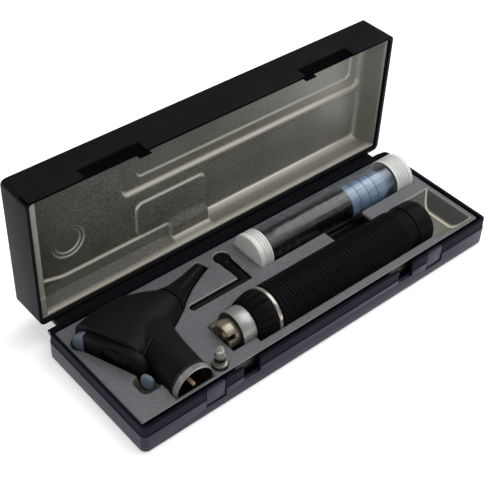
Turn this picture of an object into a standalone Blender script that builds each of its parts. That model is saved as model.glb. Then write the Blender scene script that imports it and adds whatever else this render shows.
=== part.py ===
"""Otoscope set in its moulded carrying case, standing open: base with formed tray, lid with formed
liner, otoscope head, battery handle, tube of ear specula, spare lamp and angled lamp key.

Lengths are in metres. X runs along the case, Y runs from the front latches to the hinges and Z is up.
The origin is the middle of the case underside.
"""
import math

import bmesh
import bpy
from mathutils import Matrix, Vector

MM = 0.001

# Clearances shared by all fits.
GAP = 0.3 * MM
POCKET_CLEAR = 0.4 * MM
CUT_PAST = 5 * MM
WELD = 0.01 * MM

# Case.
BASE_HEIGHT = 19.5 * MM
LID_HEIGHT = 26 * MM
CASE_WALL = 2 * MM
CASE_FLOOR = 1.8 * MM
CASE_CORNER = 4 * MM
CASE_EDGE = 1 * MM
BAND_STEP = 0.5 * MM
BAND_HEIGHT = 12.6 * MM

# Hinges.
HINGE_BEHIND = 1.7 * MM
HINGE_BELOW_RIM = 4.7 * MM
HINGE_INSET = 9 * MM
BASE_KNUCKLE_LENGTH = 6 * MM
KNUCKLE_RADIUS = 1.8 * MM
HINGE_PIN_RADIUS = 0.7 * MM
HINGE_PIN_LENGTH = 33 * MM

# Latches in the front wall.
LATCH_CENTRE = 86.5 * MM
LATCH_WIDTH = 13 * MM
LATCH_FOOT = 7.4 * MM
LATCH_SLOT = 0.5 * MM
CATCH_CENTRE = 61 * MM
CATCH_WINDOW = 12 * MM
CATCH_FOOT = 10 * MM
HOOK_WIDTH = 8 * MM
HOOK_DROP = 3 * MM
RECESS_CENTRE = 78.6 * MM
RECESS_WIDTH = 40 * MM
RECESS_HEIGHT = 8 * MM
RECESS_DEPTH = 1 * MM

# Formed tray in the base and formed liner in the lid.
SHEET = 0.9 * MM
TRAY_BELOW_RIM = 1.5 * MM
TRAY_FRONT_STRIP = 3 * MM
SCOOP_FLOOR = 8 * MM
FREE_SCOOP_RADIUS = 6.5 * MM
PIVOT_SCOOP_RADIUS = 4 * MM
FRAME_SLOT_PAST = 3 * MM
WELL_FRONT_RIM = 2.6 * MM
WELL_SIDE_RIM = 3 * MM
WELL_BEFORE_TUBE = 23.2 * MM
WELL_UNDER_CAP = 6 * MM
WELL_FLOOR = 7 * MM
WELL_CORNER = 9 * MM
NOTCH_FROM_SPIGOT = 107 * MM
NOTCH_LENGTH = 33.5 * MM
SECTION_RIM = 2.5 * MM
NOTCH_FLOOR = 6 * MM
LINER_DEPTH = 2.2 * MM
LINER_SIDE_FLANGE = 3 * MM
LINER_LATCH_FLANGE = 4 * MM
LINER_HINGE_FLANGE = 2.4 * MM
LINER_PANEL_DEPTH = 15 * MM
LINER_PANEL_RIM = 9.2 * MM
LINER_CORNER = 4 * MM
HINGE_SHELF_DEPTH = 13.4 * MM
MIDDLE_SHELF_FROM_END = 101 * MM
MIDDLE_SHELF_DEPTH = 9.6 * MM
TUBE_PANEL_FROM_END = 130 * MM
TUBE_PANEL_RIM = 0.6 * MM
TUBE_PANEL_FRONT = 1 * MM
TUBE_PANEL_DEPTH = 2.3 * MM
KEY_PANEL_FROM_END = 78 * MM
KEY_PANEL_FRONT = 6 * MM
KEY_PANEL_RIM = 10.2 * MM
KEY_PANEL_DEPTH = 1.3 * MM
PANEL_END_RIM = 4 * MM
TERRACES_FROM_END = (70 * MM, 82 * MM)
TERRACE_END_RIMS = (5.5 * MM, 12.5 * MM)
TERRACE_BACKS = (-3.5 * MM, -10.5 * MM)
TERRACE_DEPTHS = (2.8 * MM, 3.6 * MM)
BOSS_FROM_END = 29 * MM
BOSS_Y = 2.5 * MM
BOSS_RADIUS = 10 * MM
BOSS_RISE = 1.2 * MM

# Height of the head and handle axes above the case underside, and of the specula tube axis.
CONTENT_AXIS = 18.5 * MM
TUBE_AXIS = 17.5 * MM

# Battery handle, along X.
HANDLE_FROM_FRONT = 21.3 * MM
HANDLE_FROM_END = 73 * MM
SPIGOT_RADIUS = 8.5 * MM
SPIGOT_LENGTH = 10 * MM
SPIGOT_WALL = 1.6 * MM
SPIGOT_NOTCHES = 3
SPIGOT_NOTCH_WIDTH = 3.2 * MM
COLLAR_RADIUS = 11.7 * MM
COLLAR_LENGTH = 6 * MM
STEM_RADIUS = 10.2 * MM
STEM_BORE = 4.5 * MM
DIAL_LENGTH = 15 * MM
DIAL_FRONT_RADIUS = 13.2 * MM
DIAL_REAR_RADIUS = 15.3 * MM
DIAL_FLUTES = 12
DIAL_FLUTE_DEPTH = 0.9 * MM
TRIM_LENGTH = 2.3 * MM
TRIM_RADIUS = 15.2 * MM
GRIP_RADIUS = 15 * MM
GRIP_LENGTH = 113 * MM
GRIP_RIBS = 48
GRIP_RIB_DEPTH = 0.45 * MM
GRIP_FRONT_WALL = 10 * MM
GRIP_SMOOTH_END = 7 * MM
BATTERY_RADIUS = 13.05 * MM
BATTERY_REST = 4 * MM
BATTERY_BUTTON = 1.5 * MM
SPRING_WIRE = 0.5 * MM
SPRING_TURNS = 4
END_CAP_LENGTH = 13.5 * MM
END_CAP_RADIUS = 14.8 * MM
END_CAP_WALL = 2 * MM
END_CAP_ROUND = 2.5 * MM
CONTACT_RADIUS = 1.9 * MM
CONTACT_SETBACK = 2 * MM

# Otoscope head, on its side. The neck runs along -Y and the sight line is turned from +X.
HEAD_FROM_END = 40.4 * MM
NECK_FROM_FRONT = 2.5 * MM
HEAD_BEHIND_NECK = 48 * MM
SIGHT_ANGLE = 20.5
NECK_LENGTH = 42 * MM
NECK_END_RADIUS = 12.2 * MM
NECK_ROOT_HALF_WIDTH = 16 * MM
HEAD_HALF_HEIGHT = 14 * MM
HEAD_BACK_HALF_WIDTH = 22 * MM
HEAD_BACK_OFFSET = 8 * MM
HEAD_REAR = -21 * MM
HEAD_FRONT = 28 * MM
NOSE_RADIUS = 9.8 * MM
NOZZLE_RADIUS = 5.8 * MM
NOZZLE_LENGTH = 8 * MM
SIGHT_BORE_RADIUS = 4 * MM
LENS_CHAMBER_RADIUS = 10.5 * MM
SOCKET_RING_RADIUS = 12.6 * MM
SOCKET_RING_LENGTH = 6 * MM
SOCKET_RING_TEETH = 32
SOCKET_RING_TOOTH = 0.35 * MM
SOCKET_DEPTH = 11 * MM
LAMP_BORE_RADIUS = 4.6 * MM
HEAD_PIN_RADIUS = 1.2 * MM
HEAD_PIN_SETBACK = 3 * MM
CONTACT_DISC_LENGTH = 3 * MM
HEAD_LAMP_LENGTH = 14 * MM
HEAD_GLASS_LENGTH = 7 * MM
SPECULUM_LENGTH = 34.5 * MM
SPECULUM_TIP_RADIUS = 3.2 * MM
SPECULUM_WALL = 0.8 * MM

# Swinging magnifier behind the head.
FRAME_THICKNESS = 4 * MM
FRAME_HALF_HEIGHT = 12 * MM
FRAME_FREE_END = -19 * MM
FRAME_PIVOT = 19 * MM
FRAME_PIVOT_RADIUS = 10 * MM
LENS_RADIUS = 9.5 * MM
LENS_BULGE = 1 * MM
LENS_EDGE = 2 * MM
GRIP_TAB_OVERHANG = 8 * MM
GRIP_TAB_LENGTH = 10 * MM
GRIP_TAB_HALF_DEPTH = 2.2 * MM
GRIP_TAB_HALF_HEIGHT = 5 * MM
GRIP_TAB_POWER = 2.6
FRAME_CORNER = 8.4 * MM
PIVOT_SHOE_START = 2 * MM
PIVOT_PIN_RADIUS = 1.5 * MM
PIVOT_PIN_DEPTH = 5 * MM

# Specula tube, along X.
TUBE_FROM_BACK = 18 * MM
TUBE_FROM_END = 129.1 * MM
TUBE_END_RIM = 8.9 * MM
TUBE_LENGTH = 132 * MM
TUBE_RADIUS = 12.5 * MM
TUBE_WALL = 1 * MM
TUBE_CAP_RADIUS = 13.6 * MM
LEFT_CAP_LENGTH = 10 * MM
RIGHT_CAP_LENGTH = 14.4 * MM
TUBE_CAP_FLOOR = 1.5 * MM
LEFT_CAP_GROOVES = 2
RIGHT_CAP_GROOVES = 4
CAP_GROOVE_DEPTH = 0.6 * MM
STACK_REST = 5 * MM
STACK_BLACK = 9
STACK_BLUE = 4
STACK_FROM_CAP = 1.5 * MM
STACK_LENGTH = 25.5 * MM
STACK_TIP_RADIUS = 2.4 * MM
STACK_CONE_RADIUS = 9.6 * MM
STACK_WALL = 0.8 * MM

# Spare lamp, upright, and angled lamp key, flat.
LAMP_FROM_NECK = 20.1 * MM
LAMP_FROM_FRONT = 6.5 * MM
LAMP_FLANGE_RADIUS = 4.4 * MM
LAMP_BODY_RADIUS = 3.4 * MM
LAMP_GLASS_RADIUS = 2.4 * MM
LAMP_SEAT = 9.6 * MM
LAMP_FLANGE_TOP = 20 * MM
LAMP_BODY_TOP = 27 * MM
LAMP_TOP = 32.5 * MM
KEY_FROM_TUBE = 13.3 * MM
KEY_FROM_BACK = 32 * MM
KEY_ROD_LENGTH = 41 * MM
KEY_ARM_LENGTH = 22 * MM
KEY_ROD_RADIUS = 2 * MM
KEY_ARM_HALF_WIDTH = 3.2 * MM
KEY_KNOB_RADIUS = 4.6 * MM
KEY_KNOB_HALF = 2.6 * MM
KEY_AXIS = 15.2 * MM

# Facets around turned parts.
FINE_COUNT = 48
MEDIUM_COUNT = 32
COARSE_COUNT = 24
SMALL_COUNT = 16

# Derived places. The case is as long as the tube needs beside the head, and as wide as the head needs.
CASE_LENGTH = TUBE_FROM_END + TUBE_LENGTH + TUBE_END_RIM
CASE_WIDTH = NECK_LENGTH + HEAD_BEHIND_NECK
HALF_LENGTH = CASE_LENGTH / 2
LEFT_END = -HALF_LENGTH
HALF_WIDTH = CASE_WIDTH / 2
INNER_INSET = BAND_STEP + CASE_WALL
LID_RIM = BASE_HEIGHT + GAP
LID_TOP = BASE_HEIGHT + LID_HEIGHT
HINGE_Y = HALF_WIDTH + HINGE_BEHIND
HINGE_Z = BASE_HEIGHT - HINGE_BELOW_RIM
LID_KNUCKLE_HALF = HALF_LENGTH - HINGE_INSET
BASE_KNUCKLE_START = LID_KNUCKLE_HALF + GAP
BASE_KNUCKLE_END = BASE_KNUCKLE_START + BASE_KNUCKLE_LENGTH
FRONT_FACE = -HALF_WIDTH + BAND_STEP
TRAY_TOP = BASE_HEIGHT - TRAY_BELOW_RIM
TRAY_HALF_LENGTH = HALF_LENGTH - INNER_INSET - GAP
TRAY_FRONT = -HALF_WIDTH + INNER_INSET + TRAY_FRONT_STRIP
TRAY_BACK = HALF_WIDTH - INNER_INSET - GAP
HANDLE_Y = TRAY_FRONT + HANDLE_FROM_FRONT
HANDLE_FRONT = LEFT_END + HANDLE_FROM_END
COLLAR_START = HANDLE_FRONT + SPIGOT_LENGTH
DIAL_START = COLLAR_START + COLLAR_LENGTH + GAP
TRIM_START = DIAL_START + DIAL_LENGTH + GAP
GRIP_START = TRIM_START + TRIM_LENGTH + GAP
GRIP_END = GRIP_START + GRIP_LENGTH
BATTERY_LENGTH = (GRIP_LENGTH - GRIP_FRONT_WALL - BATTERY_REST) / 2
BATTERY_START = GRIP_START + GRIP_FRONT_WALL + GAP
BATTERY_END = BATTERY_START + 2 * BATTERY_LENGTH + GAP
END_CAP_START = GRIP_END + GAP
HANDLE_END = END_CAP_START + END_CAP_LENGTH
SPECULUM_START = HEAD_FRONT + GAP
SPECULUM_END = SPECULUM_START + SPECULUM_LENGTH
RING_START = NECK_LENGTH + GAP
NECK_FACE = RING_START + SOCKET_RING_LENGTH
SOCKET_RADIUS = SPIGOT_RADIUS + GAP
SOCKET_FLOOR = NECK_FACE - SOCKET_DEPTH
HEAD_X = LEFT_END + HEAD_FROM_END
HEAD_Y = TRAY_FRONT + NECK_FROM_FRONT + NECK_FACE
FRAME_FRONT = HEAD_REAR - GAP
FRAME_REAR = FRAME_FRONT - FRAME_THICKNESS
TUBE_Y = TRAY_BACK - TUBE_FROM_BACK
TUBE_LEFT = LEFT_END + TUBE_FROM_END
TUBE_RIGHT = TUBE_LEFT + TUBE_LENGTH
TUBE_BORE = TUBE_RADIUS - TUBE_WALL
STACK_RIM_RADIUS = TUBE_BORE - GAP
STACK_SPAN = TUBE_LENGTH - LEFT_CAP_LENGTH - STACK_FROM_CAP - STACK_LENGTH - STACK_REST
STACK_PITCH = STACK_SPAN / (STACK_BLACK + STACK_BLUE - 1)
STACK_COLLAR = STACK_PITCH - 2 * GAP
LAMP_X = HEAD_X + LAMP_FROM_NECK
LAMP_Y = TRAY_FRONT + LAMP_FROM_FRONT
KEY_CORNER_X = TUBE_LEFT - KEY_FROM_TUBE
KEY_CORNER_Y = TRAY_BACK - KEY_FROM_BACK
NOTCH_LEFT = HANDLE_FRONT + NOTCH_FROM_SPIGOT
NOTCH_RIGHT = NOTCH_LEFT + NOTCH_LENGTH
WELL_LEFT = HANDLE_END - WELL_UNDER_CAP
SECTION_ENDS = (NOTCH_LEFT - SECTION_RIM, (NOTCH_RIGHT + WELL_LEFT) / 2)

HEAD_ORIGIN = Vector((HEAD_X, HEAD_Y, CONTENT_AXIS))
SIGHT = Vector((math.cos(math.radians(SIGHT_ANGLE)), math.sin(math.radians(SIGHT_ANGLE)), 0))
ACROSS = Vector((-SIGHT.y, SIGHT.x, 0))
UP = Vector((0, 0, 1))

# Colour, roughness and metallic for each material.
FINISHES = {
    "case_plastic": ((0.014, 0.014, 0.018), 0.38, 0.0),
    "tray_sheet": ((0.17, 0.175, 0.18), 0.75, 0.0),
    "liner_sheet": ((0.10, 0.098, 0.088), 0.4, 0.0),
    "head_black": ((0.010, 0.010, 0.011), 0.5, 0.0),
    "tab_grey": ((0.16, 0.21, 0.27), 0.45, 0.0),
    "chrome": ((0.62, 0.60, 0.56), 0.22, 1.0),
    "satin_metal": ((0.50, 0.48, 0.44), 0.35, 1.0),
    "brass": ((0.60, 0.42, 0.20), 0.3, 1.0),
    "steel": ((0.45, 0.45, 0.46), 0.3, 1.0),
    "grip_black": ((0.008, 0.008, 0.009), 0.6, 0.0),
    "insulator": ((0.03, 0.03, 0.03), 0.6, 0.0),
    "battery": ((0.20, 0.20, 0.22), 0.35, 0.6),
    "clear": ((0.80, 0.84, 0.86), 0.08, 0.0),
    "cap_white": ((0.58, 0.57, 0.53), 0.45, 0.0),
    "specula_black": ((0.008, 0.008, 0.010), 0.4, 0.0),
    "specula_blue": ((0.16, 0.25, 0.45), 0.4, 0.0),
    "glass": ((0.85, 0.87, 0.88), 0.05, 0.0),
}


def clear_scene():
    for old in list(bpy.data.objects):
        bpy.data.objects.remove(old, do_unlink=True)


def new_collection(name):
    made = bpy.data.collections.new(name)
    bpy.context.scene.collection.children.link(made)
    return made


def new_material(name, finish):
    colour, roughness, metallic = finish
    made = bpy.data.materials.new(name)
    made.use_nodes = True
    shader = made.node_tree.nodes["Principled BSDF"]
    shader.inputs["Base Color"].default_value = (*colour, 1)
    shader.inputs["Roughness"].default_value = roughness
    shader.inputs["Metallic"].default_value = metallic
    return made


clear_scene()
PARTS = new_collection("otoscope_set")
CUTTERS = new_collection("cutters")
MATERIALS = {name: new_material(name, finish) for name, finish in FINISHES.items()}


def mesh_object(name, bm, collection, origin):
    """Close out a bmesh as an object whose origin is at the given point."""
    bmesh.ops.recalc_face_normals(bm, faces=bm.faces)
    bmesh.ops.translate(bm, verts=bm.verts, vec=-Vector(origin))
    data = bpy.data.meshes.new(name)
    bm.to_mesh(data)
    bm.free()
    made = bpy.data.objects.new(name, data)
    made.location = origin
    collection.objects.link(made)
    return made


def part(name, bm, material, origin=(0, 0, 0)):
    made = mesh_object(name, bm, PARTS, origin)
    made.data.materials.append(MATERIALS[material])
    return made


def cutter(name, bm):
    made = mesh_object(name, bm, CUTTERS, (0, 0, 0))
    made.hide_render = True
    made.display_type = "WIRE"
    return made


def boolean(target, operation, name, shapes):
    """Join shapes to a part, or cut them from it, as one exact Boolean against a collection."""
    group = bpy.data.collections.new(f"{target.name}_{name}")
    CUTTERS.children.link(group)
    for number, bm in enumerate(shapes):
        tool = cutter(f"{target.name}_{name}_{number}", bm)
        CUTTERS.objects.unlink(tool)
        group.objects.link(tool)
    modifier = target.modifiers.new(name, "BOOLEAN")
    modifier.operation = operation
    modifier.operand_type = "COLLECTION"
    modifier.collection = group
    modifier.solver = "EXACT"


def loft(loops):
    """Skin equal loops of points in order and cap both ends."""
    bm = bmesh.new()
    rings = [[bm.verts.new(point) for point in loop] for loop in loops]
    count = len(rings[0])
    for near, far in zip(rings, rings[1:]):
        for i in range(count):
            j = (i + 1) % count
            bm.faces.new((near[i], near[j], far[j], far[i]))
    bm.faces.new(rings[0])
    bm.faces.new(rings[-1])
    return bm


def rounded_outline(x0, x1, y0, y1, radius, steps=5):
    """Corner points of a rectangle with rounded corners, anticlockwise."""
    radius = min(radius, (x1 - x0) * 0.45, (y1 - y0) * 0.45)
    outline = []
    middles = ((x1 - radius, y1 - radius), (x0 + radius, y1 - radius),
               (x0 + radius, y0 + radius), (x1 - radius, y0 + radius))
    for quarter, (cx, cy) in enumerate(middles):
        for step in range(steps + 1):
            angle = math.pi / 2 * (quarter + step / steps)
            outline.append((cx + radius * math.cos(angle), cy + radius * math.sin(angle)))
    return outline


def prism(outline, z0, z1):
    return loft([[Vector((x, y, z)) for x, y in outline] for z in (z0, z1)])


def box(x0, x1, y0, y1, z0, z1):
    return prism([(x0, y0), (x1, y0), (x1, y1), (x0, y1)], z0, z1)


def rounded_box(x0, x1, y0, y1, z0, z1, radius):
    return prism(rounded_outline(x0, x1, y0, y1, radius), z0, z1)


def disc(x, y, z0, z1, radius, count=MEDIUM_COUNT):
    angles = [2 * math.pi * i / count for i in range(count)]
    return prism([(x + radius * math.cos(a), y + radius * math.sin(a)) for a in angles], z0, z1)


def turned(profile, place, count, ripple=None):
    """Spin a closed profile of (along, radius) points; place maps (along, side, up) to a point.

    Points on the axis become single vertices. Ripple maps (facet, radius) to a changed radius.
    """
    bm = bmesh.new()
    rings = []
    for along, radius in profile:
        if radius == 0:
            rings.append([bm.verts.new(place(along, 0, 0))] * count)
            continue
        ring = []
        for i in range(count):
            angle = 2 * math.pi * i / count
            here = ripple(i, radius) if ripple else radius
            ring.append(bm.verts.new(place(along, here * math.cos(angle), here * math.sin(angle))))
        rings.append(ring)
    solid = profile[0][1] == 0 and profile[-1][1] == 0
    pairs = list(zip(rings, rings[1:]))
    if not solid:
        pairs.append((rings[-1], rings[0]))
    for near, far in pairs:
        for i in range(count):
            j = (i + 1) % count
            corners = []
            for vert in (near[i], near[j], far[j], far[i]):
                if vert not in corners:
                    corners.append(vert)
            bm.faces.new(corners)
    return bm


def rod_profile(start, end, radius, edge=0.0):
    """Profile of a solid rod, with a chamfer at both ends when edge is given."""
    if edge == 0:
        return [(start, 0), (start, radius), (end, radius), (end, 0)]
    return [(start, 0), (start, radius - edge), (start + edge, radius),
            (end - edge, radius), (end, radius - edge), (end, 0)]


def pipe_profile(start, end, outer, inner):
    return [(start, inner), (start, outer), (end, outer), (end, inner)]


def along_handle(along, side, up):
    return Vector((along, HANDLE_Y + side, CONTENT_AXIS + up))


def along_tube(along, side, up):
    return Vector((along, TUBE_Y + side, TUBE_AXIS + up))


def along_sight(along, side, up):
    return HEAD_ORIGIN + along * SIGHT + side * ACROSS + up * UP


def along_neck(along, side, up):
    return HEAD_ORIGIN + Vector((side, -along, up))


def along_pivot(along, side, up):
    return along_sight(along, FRAME_PIVOT + side, up)


def across_head(along, side, up):
    """Place by distance across the head first, then along the sight line."""
    return along_sight(side, along, up)


def upright_lamp(along, side, up):
    return Vector((LAMP_X + side, LAMP_Y + up, along))


def along_hinge(along, side, up):
    return Vector((along, HINGE_Y + side, HINGE_Z + up))


def oval(middle, half_width, half_height, power, start, end, count):
    """Points of a superellipse between two angles, as (side, up)."""
    points = []
    for i in range(count):
        angle = start + (end - start) * i / (count - 1)
        c = math.cos(angle)
        s = math.sin(angle)
        side = math.copysign(abs(c) ** (2 / power), c) * half_width
        points.append((middle + side, math.copysign(abs(s) ** (2 / power), s) * half_height))
    return points


def oval_loft(stations, place, count):
    """Solid through full superellipse sections (along, middle, half width, half height, power)."""
    loops = []
    turn = 2 * math.pi * (count - 1) / count
    for along, middle, half_width, half_height, power in stations:
        ring = oval(middle, half_width, half_height, power, 0, turn, count)
        loops.append([place(along, side, up) for side, up in ring])
    return loft(loops)


def trough(stations, place, axis, grow, top, count=17):
    """Solid open-topped pocket whose sections are the lower halves of grown superellipses."""
    loops = []
    last = len(stations) - 1
    rise = top - axis
    for number, (along, middle, half_width, half_height, power) in enumerate(stations):
        if number == 0:
            along = along - grow
        if number == last:
            along = along + grow
        wide = half_width + grow
        deep = half_height + grow
        lift = 0 if rise >= 0 else math.asin((-rise / deep) ** (power / 2))
        ring = oval(middle, wide, deep, power, math.pi + lift, 2 * math.pi - lift, count)
        if rise >= 0:
            ring = [(middle - wide, rise)] + ring + [(middle + wide, rise)]
        loops.append([place(along, side, up) for side, up in ring])
    return loft(loops)


def helix(name, material, start, end, radius, wire, turns, place):
    """Closed wire coil converted from a bevelled curve."""
    curve = bpy.data.curves.new(name, "CURVE")
    curve.dimensions = "3D"
    curve.bevel_depth = wire
    curve.bevel_resolution = 1
    curve.use_fill_caps = True
    steps = turns * 12
    spline = curve.splines.new("POLY")
    spline.points.add(steps)
    for i in range(steps + 1):
        angle = 2 * math.pi * turns * i / steps
        along = start + wire + (end - start - 2 * wire) * i / steps
        spot = place(along, radius * math.cos(angle), radius * math.sin(angle))
        spline.points[i].co = (*spot, 1)
    holder = bpy.data.objects.new(name + "_path", curve)
    CUTTERS.objects.link(holder)
    depsgraph = bpy.context.evaluated_depsgraph_get()
    data = bpy.data.meshes.new_from_object(holder.evaluated_get(depsgraph))
    bpy.data.objects.remove(holder, do_unlink=True)
    bm = bmesh.new()
    bm.from_mesh(data)
    bpy.data.meshes.remove(data)
    bmesh.ops.remove_doubles(bm, verts=bm.verts, dist=WELD)
    return part(name, bm, material)


def case_loop(inset, z):
    outline = rounded_outline(-HALF_LENGTH + inset, HALF_LENGTH - inset, -HALF_WIDTH + inset,
                              HALF_WIDTH - inset, CASE_CORNER - min(inset, CASE_CORNER / 2))
    return [Vector((x, y, z)) for x, y in outline]


OPENING = (Matrix.Translation((0, HINGE_Y, HINGE_Z)) @ Matrix.Rotation(math.radians(-90), 4, "X")
           @ Matrix.Translation((0, -HINGE_Y, -HINGE_Z)))


def opened(bm):
    """Swing a shape drawn on the closed case into the open lid's place."""
    bmesh.ops.transform(bm, matrix=OPENING, verts=bm.verts)
    return bm


def mirrored_span(side, near, far):
    """Ends of a span along X on the left (-1) or right (1), in rising order."""
    return sorted((side * near, side * far))


def build_base():
    shell = part("base_shell", loft([
        case_loop(CASE_EDGE, 0), case_loop(0, CASE_EDGE), case_loop(0, BAND_HEIGHT),
        case_loop(BAND_STEP, BAND_HEIGHT + BAND_STEP), case_loop(BAND_STEP, BASE_HEIGHT),
        case_loop(INNER_INSET, BASE_HEIGHT), case_loop(INNER_INSET, CASE_FLOOR)]), "case_plastic")
    knuckles = []
    holes = []
    for side in (-1, 1):
        start, end = mirrored_span(side, BASE_KNUCKLE_START, BASE_KNUCKLE_END)
        knuckles.append(turned(rod_profile(start, end, KNUCKLE_RADIUS), along_hinge, SMALL_COUNT))
        web = KNUCKLE_RADIUS * 0.8
        knuckles.append(box(start + GAP / 2, end - GAP / 2, HALF_WIDTH - INNER_INSET / 2, HINGE_Y,
                            HINGE_Z - web, HINGE_Z + web))
        hole = rod_profile(start - CUT_PAST, end + CUT_PAST, HINGE_PIN_RADIUS + GAP)
        holes.append(turned(hole, along_hinge, SMALL_COUNT))
        half = LATCH_WIDTH / 2 + LATCH_SLOT
        holes.append(box(side * LATCH_CENTRE - half, side * LATCH_CENTRE + half,
                         -HALF_WIDTH - CUT_PAST, -HALF_WIDTH + INNER_INSET + GAP,
                         LATCH_FOOT - LATCH_SLOT, BASE_HEIGHT + CUT_PAST))
        half = CATCH_WINDOW / 2
        holes.append(box(side * CATCH_CENTRE - half, side * CATCH_CENTRE + half,
                         -HALF_WIDTH - CUT_PAST, -HALF_WIDTH + INNER_INSET + GAP,
                         CATCH_FOOT, BASE_HEIGHT + CUT_PAST))
    boolean(shell, "UNION", "knuckles", knuckles)
    boolean(shell, "DIFFERENCE", "holes", holes)
    for side, name in ((-1, "left"), (1, "right")):
        start, end = mirrored_span(side, BASE_KNUCKLE_END - HINGE_PIN_LENGTH, BASE_KNUCKLE_END)
        pin = rod_profile(start, end, HINGE_PIN_RADIUS)
        part(f"hinge_pin_{name}", turned(pin, along_hinge, SMALL_COUNT), "steel")
        middle = side * LATCH_CENTRE
        foot = Vector((middle, FRONT_FACE + CASE_WALL / 2, LATCH_FOOT))
        part(f"latch_{name}", box(middle - LATCH_WIDTH / 2, middle + LATCH_WIDTH / 2, FRONT_FACE,
                                  FRONT_FACE + CASE_WALL, LATCH_FOOT, BASE_HEIGHT), "case_plastic", foot)


def build_lid():
    shell = part("lid_shell", opened(loft([
        case_loop(INNER_INSET, LID_TOP - CASE_WALL), case_loop(INNER_INSET, LID_RIM),
        case_loop(BAND_STEP, LID_RIM), case_loop(BAND_STEP, LID_TOP - CASE_EDGE),
        case_loop(BAND_STEP + CASE_EDGE, LID_TOP)])), "case_plastic", (0, HINGE_Y, HINGE_Z))
    added = []
    holes = []
    wall_face = HALF_WIDTH - BAND_STEP
    start = -LID_KNUCKLE_HALF
    end = LID_KNUCKLE_HALF
    arm_top = LID_RIM + HINGE_BELOW_RIM
    added.append(opened(turned(rod_profile(start, end, KNUCKLE_RADIUS), along_hinge, SMALL_COUNT)))
    added.append(opened(box(start + GAP / 2, end - GAP / 2, wall_face + 2 * GAP,
                            HINGE_Y + KNUCKLE_RADIUS * 0.8, HINGE_Z, arm_top)))
    added.append(opened(box(start + GAP, end - GAP, wall_face - CASE_WALL / 2, HINGE_Y,
                            LID_RIM + GAP, arm_top - GAP)))
    for side in (-1, 1):
        near, far = mirrored_span(side, BASE_KNUCKLE_END - HINGE_PIN_LENGTH - GAP, BASE_KNUCKLE_END)
        holes.append(opened(turned(rod_profile(near, far, HINGE_PIN_RADIUS + GAP), along_hinge, SMALL_COUNT)))
        middle = side * CATCH_CENTRE
        added.append(opened(box(middle - HOOK_WIDTH / 2, middle + HOOK_WIDTH / 2,
                                FRONT_FACE + RECESS_DEPTH + GAP, FRONT_FACE + CASE_WALL,
                                LID_RIM - HOOK_DROP, LID_RIM + CASE_WALL)))
        middle = side * RECESS_CENTRE
        holes.append(opened(box(middle - RECESS_WIDTH / 2, middle + RECESS_WIDTH / 2,
                                -HALF_WIDTH - CUT_PAST, FRONT_FACE + RECESS_DEPTH,
                                LID_RIM - CUT_PAST, LID_RIM + RECESS_HEIGHT)))
    boolean(shell, "UNION", "knuckles", added)
    boolean(shell, "DIFFERENCE", "holes", holes)


def formed_sheet(name, material, plate, cups, pockets, origin=(0, 0, 0)):
    """Thin sheet: a flat plate joined to pocket walls and then opened by the pockets."""
    sheet = part(name, plate, material, origin)
    boolean(sheet, "UNION", "cups", cups)
    boolean(sheet, "DIFFERENCE", "pockets", pockets)
    return sheet


def circle_stations(stops):
    return [(along, 0, radius, radius, 2) for along, radius in stops]


HEAD_STATIONS = [
    (HEAD_REAR, HEAD_BACK_OFFSET, HEAD_BACK_HALF_WIDTH, HEAD_HALF_HEIGHT, 4),
    (HEAD_REAR * 0.48, HEAD_BACK_OFFSET * 0.94, HEAD_BACK_HALF_WIDTH, HEAD_HALF_HEIGHT, 3.4),
    (0, HEAD_BACK_OFFSET * 0.81, HEAD_BACK_HALF_WIDTH * 0.93, HEAD_HALF_HEIGHT, 3),
    (HEAD_FRONT * 0.36, HEAD_BACK_OFFSET * 0.72, HEAD_BACK_HALF_WIDTH * 0.85, HEAD_HALF_HEIGHT * 0.96, 2.6),
    (HEAD_FRONT * 0.71, HEAD_BACK_OFFSET * 0.37, HEAD_BACK_HALF_WIDTH * 0.66, HEAD_HALF_HEIGHT * 0.85, 2.2),
    (HEAD_FRONT, 0, NOSE_RADIUS, NOSE_RADIUS, 2),
]
NECK_STATIONS = [
    (NECK_LENGTH * 0.05, 0, NECK_ROOT_HALF_WIDTH, HEAD_HALF_HEIGHT * 0.93, 2.6),
    (NECK_LENGTH * 0.57, 0, NECK_END_RADIUS * 1.06, HEAD_HALF_HEIGHT * 0.92, 2.2),
    (NECK_LENGTH, 0, NECK_END_RADIUS, NECK_END_RADIUS, 2),
]
SPECULUM_STOPS = [
    (SPECULUM_START, NOSE_RADIUS),
    (SPECULUM_START + SPECULUM_LENGTH * 0.22, NOSE_RADIUS * 0.73),
    (SPECULUM_START + SPECULUM_LENGTH * 0.5, NOSE_RADIUS * 0.53),
    (SPECULUM_START + SPECULUM_LENGTH * 0.78, NOSE_RADIUS * 0.41),
    (SPECULUM_END, SPECULUM_TIP_RADIUS),
]


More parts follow.
